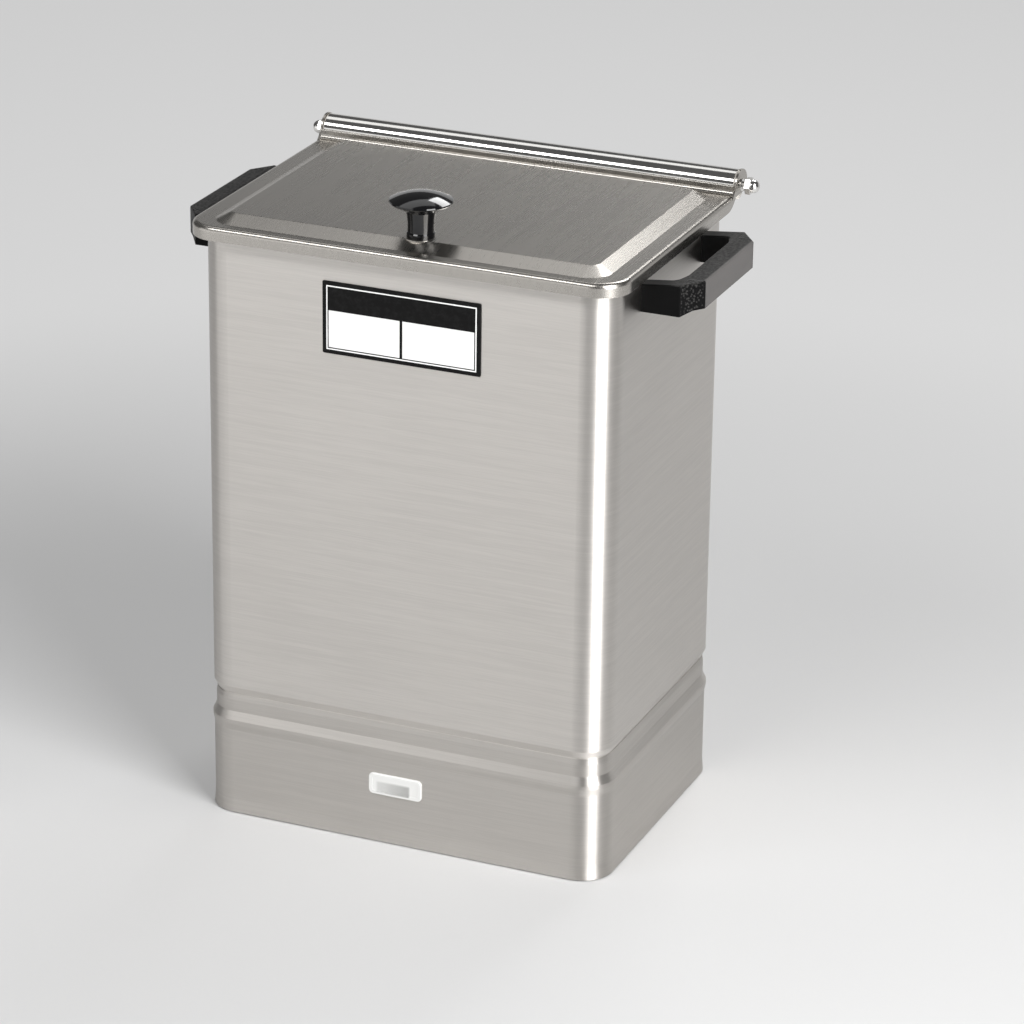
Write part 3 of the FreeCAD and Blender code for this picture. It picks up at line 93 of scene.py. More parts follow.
# Lamps: name, power setting, place, target, width and height.
LAMPS = (
    ("strip_right", "key_power", (1.38, -0.90, 0.82), (0.0, 0.0, 0.30), 0.90, 1.75),
    ("soft_box_back", "back_power", (0.07, 1.48, 1.74), (0.0, 0.0, 0.39), 0.80, 0.68),
    ("soft_box_front", "front_power", (-0.46, -1.06, 1.50), (0.0, 0.0, 0.39), 1.1, 0.40),
    ("soft_box_low", "low_power", (-0.64, -0.91, 0.40), (0.0, -0.1, 0.30), 1.4, 0.60),
    ("soft_box_ceiling", "ceiling_power", (-0.65, 0.70, 2.04), (0.0, 0.0, 0.39), 1.6, 0.60),
    ("soft_box_top", "top_power", (1.00, -0.45, 1.45), (0.0, 0.0, 0.39), 0.55, 0.50),
)

# The camera's angles in radians, and its offset and base point in half widths of the tank.
CAMERA_YAW, CAMERA_PITCH, CAMERA_ROLL = 0.3955, 0.3849, 0.0135
CAMERA_UNIT = 0.134
CAMERA_OFFSET = (-0.2236, -0.0928, 19.9295)
CAMERA_BASE = (0, 0, 1.5)


# ---------------------------------------------------------------------------------------------------------
# Sizes and colours that a user would change
# ---------------------------------------------------------------------------------------------------------
def colour(name, description, default):
    """A colour property."""
    return bpy.props.FloatVectorProperty(
        name=name, description=description, subtype="COLOR", size=3, min=0.0, max=1.0, default=default
    )


def amount(name, description, default, low=0.0, high=1.0):
    """A plain number property."""
    return bpy.props.FloatProperty(name=name, description=description, default=default, min=low, max=high)


def length(name, description, default):
    """A length property, in metres."""
    return bpy.props.FloatProperty(
        name=name, description=description, default=default,
        min=0.0, unit="LENGTH", subtype="DISTANCE", precision=5,
    )


class HeaterSteel(bpy.types.PropertyGroup):
    """The sheet steel's finish."""

    wall_colour: colour("Wall colour", "Brushed steel of the tank's walls", (0.67, 0.643, 0.611))
    band_colour: colour("Band colour", "Brushed steel of the base band", (0.57, 0.545, 0.515))
    lid_colour: colour("Lid colour", "Brushed steel of the lid", (0.460, 0.439, 0.408))
    tube_colour: colour("Tube colour", "Polished steel of the hinge tube", (0.80, 0.79, 0.77))
    wall_roughness: amount("Wall roughness", "How far the walls spread a reflection", 0.42)
    lid_roughness: amount("Lid roughness", "How far the lid spreads a reflection", 0.27)
    line_pitch: length("Brush line pitch", "Spacing of the finest brush lines", 0.0005)


class HeaterMoulding(bpy.types.PropertyGroup):
    """The moulded handles and knob."""

    handle_colour: colour("Handle colour", "Matt phenolic", (0.0025, 0.0025, 0.0026))
    knob_colour: colour("Knob colour", "Glossy phenolic", (0.0025, 0.0025, 0.003))
    # On the pebbled corners this is the moulded grain; on the top face it also paints a sheen of the lamps.
    grain_and_sheen_colour: colour("Grain colour", "The tops of the moulded grain", (0.036, 0.035, 0.034))
    # Not wear: a painted sheen of the key lamp on the grip's outer face.
    grip_sheen_colour: colour("Grip sheen colour", "Where hands rub the grip", (0.100, 0.095, 0.092))
    grain: length("Pebble size", "Size of the moulded pebble grain", 0.0017)


class HeaterLamp(bpy.types.PropertyGroup):
    """The pilot lamp."""

    frame_glow: amount("Frame glow", "Light from the lens's frame", 0.44, 0.0, 10.0)
    window_glow: amount("Window glow", "Light from the window, as a share of the frame's", 0.05, 0.0, 10.0)


class HeaterStudio(bpy.types.PropertyGroup):
    """Camera, floor and lamps."""

    lens: amount("Lens", "Focal length in millimetres", 150.94, 10.0, 400.0)
    floor_colour: colour("Floor colour", "Paper sweep", (0.65, 0.65, 0.65))
    floor_glow: colour("Floor glow", "Evens out the paper as seen directly or mirrored", (0.78, 0.78, 0.78))
    # The low share near the heater against the far share paints the paper darker round the heater: a painted
    # shade.
    evenness: amount("Evenness", "Share of the even glow in the paper near the heater", 0.08)
    far_evenness: amount("Far evenness", "Share of the even glow in the paper far from the heater", 0.68)
    world_level: amount("World level", "Light from the room", 0.10, 0.0, 5.0)
    key_power: amount("Key power", "Strip lamp at the right, in watts", 42.0, 0.0, 1000.0)
    back_power: amount("Back power", "Soft box high at the back, in watts", 12.5, 0.0, 1000.0)
    front_power: amount("Front power", "Soft box high at the front left, in watts", 8.5, 0.0, 1000.0)
    low_power: amount("Low power", "Soft box low at the front left, in watts", 2.2, 0.0, 1000.0)
    ceiling_power: amount("Ceiling power", "Soft box overhead at the back left, in watts", 3.0, 0.0, 1000.0)
    top_power: amount("Top power", "Soft box high at the right, in watts", 5.0, 0.0, 1000.0)


# ---------------------------------------------------------------------------------------------------------
# Materials as Python expressions
# ---------------------------------------------------------------------------------------------------------
class Signal:
    """A number that changes over a surface, worked with as an ordinary expression."""

    def __init__(self, finish, socket):
        self.finish = finish
        self.socket = socket

    def math(self, operation, *values):
        """A Math node on this value and others."""
        return self.finish.node("ShaderNodeMath", {"operation": operation}, [self, *values])

    def __add__(self, other):
        return self.math("ADD", other)

    def __sub__(self, other):
        return self.math("SUBTRACT", other)

    def __rsub__(self, other):
        return self.finish.node("ShaderNodeMath", {"operation": "SUBTRACT"}, [other, self])

    def __mul__(self, other):
        return self.math("MULTIPLY", other)

    def __abs__(self):
        return self.math("ABSOLUTE")

    __radd__ = __add__

    def smooth(self, low, high):
        """0 below low, 1 above high, with a soft step between them."""
        settings = {"interpolation_type": "SMOOTHSTEP"}
        return self.finish.node("ShaderNodeMapRange", settings, [self, low, high])


class Graph:
    """A node tree, built node by node."""

    def node(self, kind, settings=None, inputs=(), output=0):
        """Any node: its settings first, then the values or links of its sockets."""
        node = self.tree.nodes.new(kind)
        for name, value in (settings or {}).items():
            setattr(node, name, value)
        pairs = inputs.items() if isinstance(inputs, dict) else enumerate(inputs)
        for name, value in pairs:
            socket = node.inputs[name]
            if isinstance(value, Signal):
                self.tree.links.new(value.socket, socket)
            else:
                socket.default_value = value
        return Signal(self, node.outputs[output])


class Finish(Graph):
    """A material."""

    def __init__(self, name):
        self.material = bpy.data.materials.new(name)
        self.material.use_nodes = True
        self.tree = self.material.node_tree
        self.tree.nodes.clear()
        self.place = self.node("ShaderNodeTexCoord", output="Object")

    def axes(self):
        """The three object coordinates."""
        kind = "ShaderNodeSeparateXYZ"
        return [self.node(kind, inputs=[self.place], output=k) for k in range(3)]

    def noise(self, size, detail=2.0, roughness=0.5, shift=(0.0, 0.0, 0.0)):
        """Noise whose grains have the given sizes along X, Y and Z."""
        scale = tuple(1.0 / s for s in size)
        place = self.node(
            "ShaderNodeMapping", inputs={"Vector": self.place, "Scale": scale, "Location": shift}
        )
        return self.node(
            "ShaderNodeTexNoise",
            inputs={"Vector": place, "Scale": 1.0, "Detail": detail, "Roughness": roughness},
        )

    def cells(self, size):
        """Distance to the nearest pebble's middle, in pebble sizes."""
        place = self.node("ShaderNodeMapping", inputs={"Vector": self.place, "Scale": (1.0 / size,) * 3})
        return self.node("ShaderNodeTexVoronoi", inputs={"Vector": place, "Scale": 1.0})

    def blend(self, factor, first, second):
        """From the first colour to the second."""
        return self.node(
            "ShaderNodeMix",
            {"data_type": "RGBA"},
            {0: factor, 6: rgba(first), 7: rgba(second)},
            output=2,
        )

    def bump(self, height, depth, strength):
        """Relief of the given depth in metres."""
        inputs = {"Height": height, "Distance": depth, "Strength": strength}
        return self.node("ShaderNodeBump", inputs=inputs)

    def finish(self, **sockets):
        """End the tree in a Principled BSDF. An underscore in a name stands for a space."""
        inputs = {name.replace("_", " "): value for name, value in sockets.items()}
        for name in ("Base Color", "Emission Color"):
            if name in inputs:
                inputs[name] = rgba(inputs[name])
        shader = self.node("ShaderNodeBsdfPrincipled", inputs=inputs)
        return self.end(shader)

    def end(self, shader):
        """Link a shader to the output."""
        output = self.tree.nodes.new("ShaderNodeOutputMaterial")
        self.tree.links.new(shader.socket, output.inputs["Surface"])
        return self.material


def rgba(value):
    """A colour with its alpha, or a link as it is."""
    return value if isinstance(value, Signal) else (*value[:3], 1.0)


def shaded(value, factor):
    """A colour made lighter or darker."""
    return tuple(min(1.0, v * factor) for v in value)


# ---------------------------------------------------------------------------------------------------------
# Finishes
# ---------------------------------------------------------------------------------------------------------
def brushed(name, tone, roughness, grain, spread, anisotropy, streaks, relief):
    """Brushed sheet: fine lines along one way, a soft cloudiness, and faint handling marks."""
    steel = Finish(name)
    lines = steel.noise(grain, 3.0, 0.65)
    coarse = steel.noise(spread, 2.0, 0.5, (3.1, 1.7, 0.4))
    cloud = steel.noise((0.09, 0.09, 0.12), 2.0, 0.5)
    marks = steel.noise((0.011, 0.011, 0.016), 4.0, 0.7).smooth(0.62, 0.78)
    shade = lines * 0.55 + coarse * 0.3 + cloud * 0.15
    base = steel.blend(shade.smooth(0.36, 0.64), shaded(tone, 0.955), shaded(tone, 1.04))
    rough = lines * (0.16 * streaks) + coarse * (0.10 * streaks) + marks * 0.035 + cloud * 0.05
    return steel.finish(
        Base_Color=base,
        Metallic=1.0,
        Roughness=rough + (roughness - 0.12 * streaks - 0.025),
        Anisotropic=anisotropy,
        Anisotropic_Rotation=0.25,
        Normal=steel.bump(lines + coarse * 0.6, relief, 0.6),
    )


def polished(name, tone, roughness, grain):
    """Polished metal with hairline marks and a faint haze."""
    metal = Finish(name)
    hair = metal.noise(grain, 2.0, 0.6)
    haze = metal.noise((0.02, 0.02, 0.02), 3.0, 0.6)
    base = metal.blend(haze.smooth(0.35, 0.7), shaded(tone, 0.97), shaded(tone, 1.02))
    return metal.finish(
        Base_Color=base,
        Metallic=1.0,
        Roughness=hair * 0.05 + haze.smooth(0.45, 0.75) * 0.05 + (roughness - 0.03),
        Normal=metal.bump(hair, 0.00001, 0.4),
    )


def plain_metal(name, tone, roughness, spangle=0.006):
    """Zinc-coated, turned or cast metal, a little uneven."""
    metal = Finish(name)
    cells = metal.noise((spangle,) * 3, 3.0, 0.6)
    fine = metal.noise((0.0004,) * 3, 2.0, 0.5)
    base = metal.blend(cells.smooth(0.35, 0.65), shaded(tone, 0.86), shaded(tone, 1.1))
    return metal.finish(
        Base_Color=base,
        Metallic=1.0,
        Roughness=cells * 0.12 + fine * 0.06 + (roughness - 0.09),
        Normal=metal.bump(fine, 0.00002, 0.5),
    )


def moulded(name, tone, roughness, grain, coat=0.0, mottle=0.5, relief=0.00005, shine=0.5):
    """Moulded plastic or rubber: fine pebbling, faint flow marks and patches worn lighter."""
    plastic = Finish(name)
    pebble = plastic.cells(grain)
    flow = plastic.noise((0.012, 0.03, 0.012), 3.0, 0.6)
    rub = plastic.noise((0.006, 0.009, 0.006), 4.0, 0.65).smooth(0.5, 0.75)
    base = plastic.blend(flow.smooth(0.3, 0.7) * mottle + rub * 0.25, tone, shaded(tone, 1.9))
    return plastic.finish(
        Base_Color=base,
        Roughness=rub * (0.08 * mottle) + flow * (0.1 * mottle) + (roughness - 0.05 * mottle),
        Specular_IOR_Level=shine,
        Coat_Weight=coat,
        Coat_Roughness=0.05,
        Normal=plastic.bump(pebble, relief, 0.6),
    )


def handle_moulding(group):
    """Black phenolic: smooth legs, pebbled slanted corners, a grained top with painted sheen, and a grip
    painted with a grey sheen.
    """
    resin = Finish("phenolic_matt")
    x, y, z = resin.axes()
    pebble = resin.cells(group.grain)
    grain = resin.noise((0.0016, 0.0030, 0.0012), 3.0, 0.6)
    flow = resin.noise((0.010, 0.026, 0.010), 3.0, 0.6)
    out, along = abs(x), abs(y - HANDLE_MIDDLE)
    corner = out.smooth(*CORNER_OUT) * along.smooth(*CORNER_ALONG)
    # Mask of the grip's outer face, where the painted sheen goes.
    grip_sheen = out.smooth(*GRIP_OUT) * (1 - along.smooth(*GRIP_ALONG))
    top = z.smooth(*TOP_UP) * out.smooth(*TOP_OUT)
    tone = group.handle_colour
    base = resin.blend(flow * 0.5, tone, shaded(tone, 1.8))
    # The top face's grain is lightened towards this colour: moulded grain, and also a painted sheen of the
    # lamps.
    base = resin.blend(top * grain.smooth(0.35, 0.65), base, group.grain_and_sheen_colour)
    base = resin.blend(corner * (1 - pebble.smooth(0.18, 0.50)), base, group.grain_and_sheen_colour)
    # Painted sheen: the grip's outer face is lightened to a grey that stands in for the key lamp's
    # reflection.
    base = resin.blend(grip_sheen * (0.75 + flow * 0.5), base, group.grip_sheen_colour)
    return resin.finish(
        Base_Color=base,
        Roughness=flow * 0.10 + corner * 0.06 + 0.36,
        Specular_IOR_Level=0.06,
        Sheen_Weight=0.12,
        Sheen_Roughness=0.35,
        Normal=resin.bump(pebble * corner + grain * top * 0.4, 0.0004, 0.7),
    )


def lit_lens(group):
    """The lens glows: a bright surround, thick at the top and the right, and a duller window behind it."""
    lens = Finish("lit_lens")
    x, _, z = lens.axes()
    low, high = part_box("lamp_lens")
    middle = (low + high) / 2
    side, up = x - middle.x, z - middle.z
    window = side.smooth(*WINDOW_LEFT) * (1 - side.smooth(*WINDOW_RIGHT))
    window = window * up.smooth(*WINDOW_BOTTOM) * (1 - up.smooth(*WINDOW_TOP))
    haze = lens.noise((0.004, 0.004, 0.003), 2.0, 0.5)
    duller = window * (side.smooth(*WINDOW_SHADE) * 0.55 + haze * 0.12 + 0.34)
    glow = lens.blend(duller, (1.0, 1.0, 0.985), shaded((0.93, 0.93, 0.92), group.window_glow))
    return lens.finish(
        Base_Color=(0.35, 0.35, 0.34),
        Roughness=haze * 0.1 + 0.16,
        Emission_Color=glow,
        Emission_Strength=group.frame_glow,
        Normal=lens.bump(haze, 0.0001, 0.3),
    )


def blank_plate():
    """A printed plate without a word on it: black, with a fine pale border and two pale fields."""
    plate = Finish("blank_plate")
    x, _, z = plate.axes()
    low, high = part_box("front_plate")
    centre = (low + high) / 2
    half = (high - low) / 2
    side, up = abs(x - centre.x), z - centre.z

    def above(value, limit):
        return value.smooth(limit - INK_EDGE, limit + INK_EDGE)

    def below(value, limit):
        return 1 - above(value, limit)

    outer_x, outer_z = half.x - PLATE_MARGIN, half.z - PLATE_MARGIN
    inner_x, inner_z = outer_x - BORDER_WIDTH, outer_z - BORDER_WIDTH
    outside = below(side, outer_x) * below(abs(up), outer_z)
    inside = below(side, inner_x) * below(abs(up), inner_z)
    border = outside * (1 - inside)
    fields = below(side, inner_x - BORDER_GAP) * above(side, FIELD_GAP)
    fields = fields * below(up, FIELD_TOP) * above(up, -inner_z + BORDER_GAP)
    ink = border + fields
    wear = plate.noise((0.003, 0.003, 0.003), 3.0, 0.6)
    pale = plate.blend(wear.smooth(0.3, 0.7), (0.78, 0.78, 0.77), (0.86, 0.86, 0.85))
    dark = plate.blend(wear.smooth(0.4, 0.8), (0.004, 0.004, 0.004), (0.010, 0.010, 0.010))
    return plate.finish(
        Base_Color=plate.blend(ink, dark, pale),
        Roughness=wear * 0.12 + 0.30,
        Specular_IOR_Level=0.12,
        Normal=plate.bump(ink + wear * 0.1, 0.00004, 0.5),
    )


def paint(finish, *names):
    """Give CAD nodes one finish."""
    for name in names:
        slots = NODES[name].data.materials
        slots.clear()
        slots.append(finish)


# ---------------------------------------------------------------------------------------------------------
# Pieces that repeat
# ---------------------------------------------------------------------------------------------------------
class Growth(Graph):
    """A Geometry Nodes tree with named inputs. An underscore in a name stands for a space."""

    def __init__(self, name, **inputs):
        self.tree = bpy.data.node_groups.new(name, "GeometryNodeTree")
        sockets = self.tree.interface
        for key, kind in inputs.items():
            sockets.new_socket(key.replace("_", " "), in_out="INPUT", socket_type="NodeSocket" + kind)
        sockets.new_socket("Geometry", in_out="OUTPUT", socket_type="NodeSocketGeometry")
        self.start = self.tree.nodes.new("NodeGroupInput")

    def given(self, name):
        """One of the tree's inputs."""
        return Signal(self, self.start.outputs[name])

    def vector(self, x=0.0, y=0.0, z=0.0):
        """A vector from numbers or links."""
        return self.node("ShaderNodeCombineXYZ", inputs=[x, y, z])

    def moved(self, shape, where):
        """A shape, moved."""
        return self.node("GeometryNodeTransform", inputs={"Geometry": shape, "Translation": where})

    def join(self, *shapes):
        """Several shapes as one."""
        joined = self.node("GeometryNodeJoinGeometry")
        for shape in shapes:
            self.tree.links.new(shape.socket, joined.socket.node.inputs[0])
        return joined

    def chance(self, low, high, seed):
        """A random number for each copy, the same at every run."""
        return self.node("FunctionNodeRandomValue", inputs={2: low, 3: high, "Seed": seed}, output=1)

    def places(self, columns, rows):
        """The points of a grid round the tree's Centre, as wide and deep as its Spread."""
        x, y = (self.node("ShaderNodeSeparateXYZ", inputs=[self.given("Spread")], output=k) for k in (0, 1))
        names = ("Size X", "Size Y", "Vertices X", "Vertices Y")
        grid = self.node("GeometryNodeMeshGrid", inputs=dict(zip(names, (x, y, columns, rows))))
        return self.moved(grid, self.given("Centre"))

    def end(self, copies):
        """End the tree in real geometry with its finish."""
        real = self.node("GeometryNodeRealizeInstances", inputs=[copies])
        done = self.node(
            "GeometryNodeSetMaterial", inputs={"Geometry": real, "Material": self.given("Finish")}
        )
        output = self.tree.nodes.new("NodeGroupOutput")
        self.tree.links.new(done.socket, output.inputs[0])
        return self.tree


def screw_tree():
    """Pan-head screws with a crossed recess, at the corners of a rectangle."""
    screw = Growth(
        "pan_head_screws", Spread="Vector", Centre="Vector", Head_radius="Float", Head_height="Float",
        Shank_radius="Float", Shank_length="Float", Turn_over="Float", Lean_inward="Float", Finish="Material",
    )
    radius, height, length = (screw.given(name) for name in ("Head radius", "Head height", "Shank length"))
    head = screw.node(
        "GeometryNodeMeshCylinder", inputs={"Vertices": 28, "Radius": radius, "Depth": height * 0.4}
    )
    crown = Signal(screw, head.socket.node.outputs["Top"])
    for rise, shrink in ((0.28, 0.93), (0.20, 0.84), (0.12, 0.62)):
        step = screw.node(
            "GeometryNodeExtrudeMesh",
            inputs={"Mesh": head, "Selection": crown, "Offset Scale": height * rise, "Individual": False},
        )
        crown = Signal(screw, step.socket.node.outputs["Top"])
        head = screw.node(
            "GeometryNodeScaleElements", inputs={"Geometry": step, "Selection": crown, "Scale": shrink}
        )
    head = screw.moved(head, screw.vector(z=height * 0.2))
    for x, y in ((1.05, 0.26), (0.26, 1.05)):
        slot = screw.node("GeometryNodeMeshCube", inputs=[screw.vector(radius * x, radius * y, height * 1.1)])
        slot = screw.moved(slot, screw.vector(z=height))
        head = screw.node(
            "GeometryNodeMeshBoolean", {"operation": "DIFFERENCE"}, {"Mesh 1": head, "Mesh 2": slot}
        )
    shank = screw.node(
        "GeometryNodeMeshCylinder",
        inputs={"Vertices": 20, "Radius": screw.given("Shank radius"), "Depth": length + height * 0.1},
    )
    shank = screw.moved(shank, screw.vector(z=height * 0.05 - length * 0.5))
    side = screw.node("ShaderNodeSeparateXYZ", inputs=[screw.node("GeometryNodeInputPosition")]).math("SIGN")
    lean = screw.vector(screw.given("Turn over"), side * screw.given("Lean inward"))
    copies = screw.node(
        "GeometryNodeInstanceOnPoints",
        inputs={"Points": screw.places(2, 2), "Instance": screw.join(head, shank), "Rotation": lean},
    )
    spin = screw.vector(z=screw.chance(0.0, 1.5, 4))
    copies = screw.node("GeometryNodeRotateInstances", inputs={"Instances": copies, "Rotation": spin})
    return screw.end(copies)


def weld_tree():
    """Flattened weld nuggets at the crossings of a wire grid."""
    weld = Growth(
        "weld_nuggets", Spread="Vector", Centre="Vector",
        Columns="Int", Rows="Int", Radius="Float", Finish="Material",
    )
    ball = weld.node("GeometryNodeMeshIcoSphere", inputs={"Radius": weld.given("Radius"), "Subdivisions": 3})
    width = weld.chance(0.85, 1.20, 7)
    copies = weld.node(
        "GeometryNodeInstanceOnPoints",
        inputs={
            "Points": weld.places(weld.given("Columns"), weld.given("Rows")),
            "Instance": ball,
            "Rotation": weld.vector(z=weld.chance(0.0, 3.0, 9)),
            "Scale": weld.vector(width, width * 0.9, weld.chance(0.60, 0.80, 8)),
        },
    )
    return weld.end(copies)


def grown(name, tree, finish, slot, values, *nodes):
    """A tree's result as a plain mesh on the cabinet, which stands for its CAD nodes."""
    piece = bpy.data.objects.new(name, bpy.data.meshes.new(name))
    bpy.context.collection.objects.link(piece)
    modifier = piece.modifiers.new(name, "NODES")
    modifier.node_group = tree
    values = {**values, "Finish": finish}
    for socket in tree.interface.items_tree:
        if socket.in_out == "INPUT":
            modifier[socket.identifier] = values[socket.name]
    shape = bpy.data.meshes.new_from_object(piece.evaluated_get(bpy.context.evaluated_depsgraph_get()))
    piece.modifiers.clear()
    piece.data = shape
    shape.name = name
    shape.shade_smooth()
    shape.set_sharp_from_angle(angle=0.6)
    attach(piece, "cabinet")
    if nodes:
        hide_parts(*nodes)
    return piece


# ---------------------------------------------------------------------------------------------------------
# Operators, one for each group of pieces
# ---------------------------------------------------------------------------------------------------------
class PieceOperator:
    """What the piece operators share."""

    bl_options = {"REGISTER", "UNDO"}

    def execute(self, context):
        self.make(context.scene)
        return {"FINISHED"}


class HEATER_OT_tank(PieceOperator, bpy.types.Operator):
    """Brush the tank's walls and the base band."""

    bl_idname = "heater.tank"
    bl_label = "Tank and base band"

    def make(self, scene):
        steel = scene.heater_steel
        pitch = steel.line_pitch
        grain, spread = (pitch * 60, pitch * 60, pitch), (0.10, 0.10, pitch * 5)
        for name, tone, node in (
            ("wall_steel", steel.wall_colour, "tank"), ("band_steel", steel.band_colour, "base_skirt"),
        ):
            sheet = brushed(
                name, tone, steel.wall_roughness, grain, spread,
                anisotropy=0.88, streaks=0.12, relief=0.000005,
            )
            paint(sheet, node)


class HEATER_OT_lid(PieceOperator, bpy.types.Operator):
    """Brush the lid front to back."""

    bl_idname = "heater.lid"
    bl_label = "Lid"

    def make(self, scene):
        steel = scene.heater_steel
        pitch = steel.line_pitch
        sheet = brushed(
            "lid_steel", steel.lid_colour, steel.lid_roughness,
            (pitch * 0.7, pitch * 70, pitch * 3), (pitch * 6, 0.12, pitch * 20),
            anisotropy=0.0, streaks=0.25, relief=0.000007,
        )
        paint(sheet, "lid")


class HEATER_OT_hinge(PieceOperator, bpy.types.Operator):
    """Polish the hinge tube, rod and nuts."""

    bl_idname = "heater.hinge"
    bl_label = "Hinge"

    def make(self, scene):
        tone = scene.heater_steel.tube_colour
        paint(polished("tube_steel", tone, 0.09, (0.0004, 0.01, 0.01)), "hinge_tube")
        paint(
            polished("nut_steel", (0.78, 0.77, 0.75), 0.14, (0.001,) * 3),
            "acorn_nuts", "hinge_washers", "hinge_rod",
        )
        paint(moulded("nylon", (0.42, 0.40, 0.37), 0.42, 0.0006), "hinge_bushes")


class HEATER_OT_handles(PieceOperator, bpy.types.Operator):
    """Finish the moulded handles and the knob."""

    bl_idname = "heater.handles"
    bl_label = "Handles and knob"

    def make(self, scene):
        group = scene.heater_moulding
        paint(handle_moulding(group), "handle_right", "handle_left")
        gloss = moulded(
            "phenolic_gloss", group.knob_colour, 0.10, 0.0012,
            coat=0.80, mottle=0.25, relief=0.000004, shine=0.2,
        )
        paint(gloss, "lid_knob")


class HEATER_OT_front(PieceOperator, bpy.types.Operator):
    """Light the lamp and print the blank plate."""

    bl_idname = "heater.front"
    bl_label = "Lamp and plate"

    def make(self, scene):
        paint(lit_lens(scene.heater_lamp), "lamp_lens")
        paint(blank_plate(), "front_plate")
        paint(moulded("lamp_housing", (0.55, 0.53, 0.48), 0.45, 0.0007), "lamp_body")


class HEATER_OT_underside(PieceOperator, bpy.types.Operator):
    """Finish the bottom plate and its brackets, the feet, the gland and the plain fasteners."""

    bl_idname = "heater.underside"
    bl_label = "Underside"

    def make(self, scene):
        zinc = plain_metal("zinc_sheet", (0.52, 0.53, 0.54), 0.42)
        paint(zinc, "base_plate", "plate_brackets", "thermostat_bracket", "bulb_clips")
        rubber = moulded("foot_rubber", (0.012, 0.012, 0.012), 0.62, 0.0007, mottle=1.0, relief=0.0001)
        paint(rubber, "feet")
        paint(moulded("gland_nylon", (0.014, 0.014, 0.014), 0.40, 0.0006), "cord_gland")
        paint(
            plain_metal("screw_steel", (0.50, 0.50, 0.50), 0.30, 0.002),
            "foot_nuts", "knob_screw", "element_terminals",
        )


class HEATER_OT_controls(PieceOperator, bpy.types.Operator):
    """Finish the element and what controls it."""

    bl_idname = "heater.controls"
    bl_label = "Element and controls"

    def make(self, scene):
        paint(plain_metal("element_sheath", (0.20, 0.185, 0.17), 0.46, 0.012), "heating_element")
        paint(
            plain_metal("turned_brass", (0.66, 0.50, 0.24), 0.32, 0.004),
            "element_fittings", "element_nuts", "terminal_screws", "earth_stud", "thermostat_spindle",
        )
        paint(plain_metal("copper", (0.68, 0.36, 0.23), 0.34, 0.01), "thermostat_bulb")
        paint(moulded("seal_rubber", (0.018, 0.018, 0.018), 0.7, 0.0006), "element_gaskets", "handle_washers")
        brown = moulded("phenolic_brown", (0.05, 0.022, 0.012), 0.35, 0.0008)
        paint(brown, "thermostat_body", "thermal_cutout")
        paint(moulded("terminal_plastic", (0.55, 0.52, 0.45), 0.45, 0.0008), "terminal_block")


class HEATER_OT_rack(PieceOperator, bpy.types.Operator):
    """Finish the wire rack."""

    bl_idname = "heater.rack"
    bl_label = "Rack"

    def make(self, scene):
        paint(polished("rack_wire", (0.68, 0.68, 0.67), 0.24, (0.004,) * 3), "rack_floor", "rack_sides")


class HEATER_OT_screws(PieceOperator, bpy.types.Operator):
    """Make the pan-head screws of the bottom plate, the feet and the handles."""

    bl_idname = "heater.screws"
    bl_label = "Screws"

    def make(self, scene):
        finish = bpy.data.materials["screw_steel"]
        tree = screw_tree()
        for node, (radius, height, shank) in FLOOR_SCREWS.items():
            low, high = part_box(node)
            seat = low.z + height
            grown(
                "pan_head_" + node, tree, finish, "screw_steel",
                {
                    "Spread": (high.x - low.x - 2 * radius, high.y - low.y - 2 * radius, 0.0),
                    "Centre": ((low.x + high.x) / 2, (low.y + high.y) / 2, seat),
                    "Head radius": radius, "Head height": height,
                    "Shank radius": shank, "Shank length": high.z - seat,
                    "Turn over": math.pi, "Lean inward": 0.0,
                },
                node,
            )
        low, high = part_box("handle_screws")
        radius, length = (high.z - low.z) / 2, HANDLE_SCREW_LENGTH
        grown(
            "pan_head_handle_screws", tree, finish, "screw_steel",
            {
                "Spread": (2 * (high.x - length), high.y - low.y - 2 * radius, 0.0),
                "Centre": (0.0, (low.y + high.y) / 2, (low.z + high.z) / 2),
                "Head radius": radius, "Head height": HANDLE_SCREW_HEAD,
                "Shank radius": HANDLE_SCREW_SHANK, "Shank length": length,
                "Turn over": 0.0, "Lean inward": -math.pi / 2,
            },
            "handle_screws",
        )


class HEATER_OT_welds(PieceOperator, bpy.types.Operator):
    """Add the weld nuggets where the rack's wires cross."""

    bl_idname = "heater.welds"
    bl_label = "Rack welds"

    def make(self, scene):
        finish = bpy.data.materials["rack_wire"]
        tree = weld_tree()
        shelf, shelf_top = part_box("rack_floor")
        low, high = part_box("rack_sides")
        deep = high.y - low.y - 2 * WIRE
        middle = (low.y + high.y) / 2
        runners = (high.x - WIRE) * RUNNER_SPREAD
        sides = 2 * (high.x - 2 * WIRE)
        for name, wide, columns, z in (
            ("rack_welds_floor", runners, 3, shelf.z + 2 * WIRE),
            ("rack_welds_sides", sides, 2, shelf_top.z - WIRE),
            ("rack_welds_top", sides + 2 * WIRE, 2, high.z - 2 * WIRE),
        ):
            grown(
                name, tree, finish, "wire_steel",
                {
                    "Spread": (wide, deep, 0.0), "Centre": (0.0, middle, z),
                    "Columns": columns, "Rows": CROSS_WIRES, "Radius": WIRE * 0.85,
                },
            )


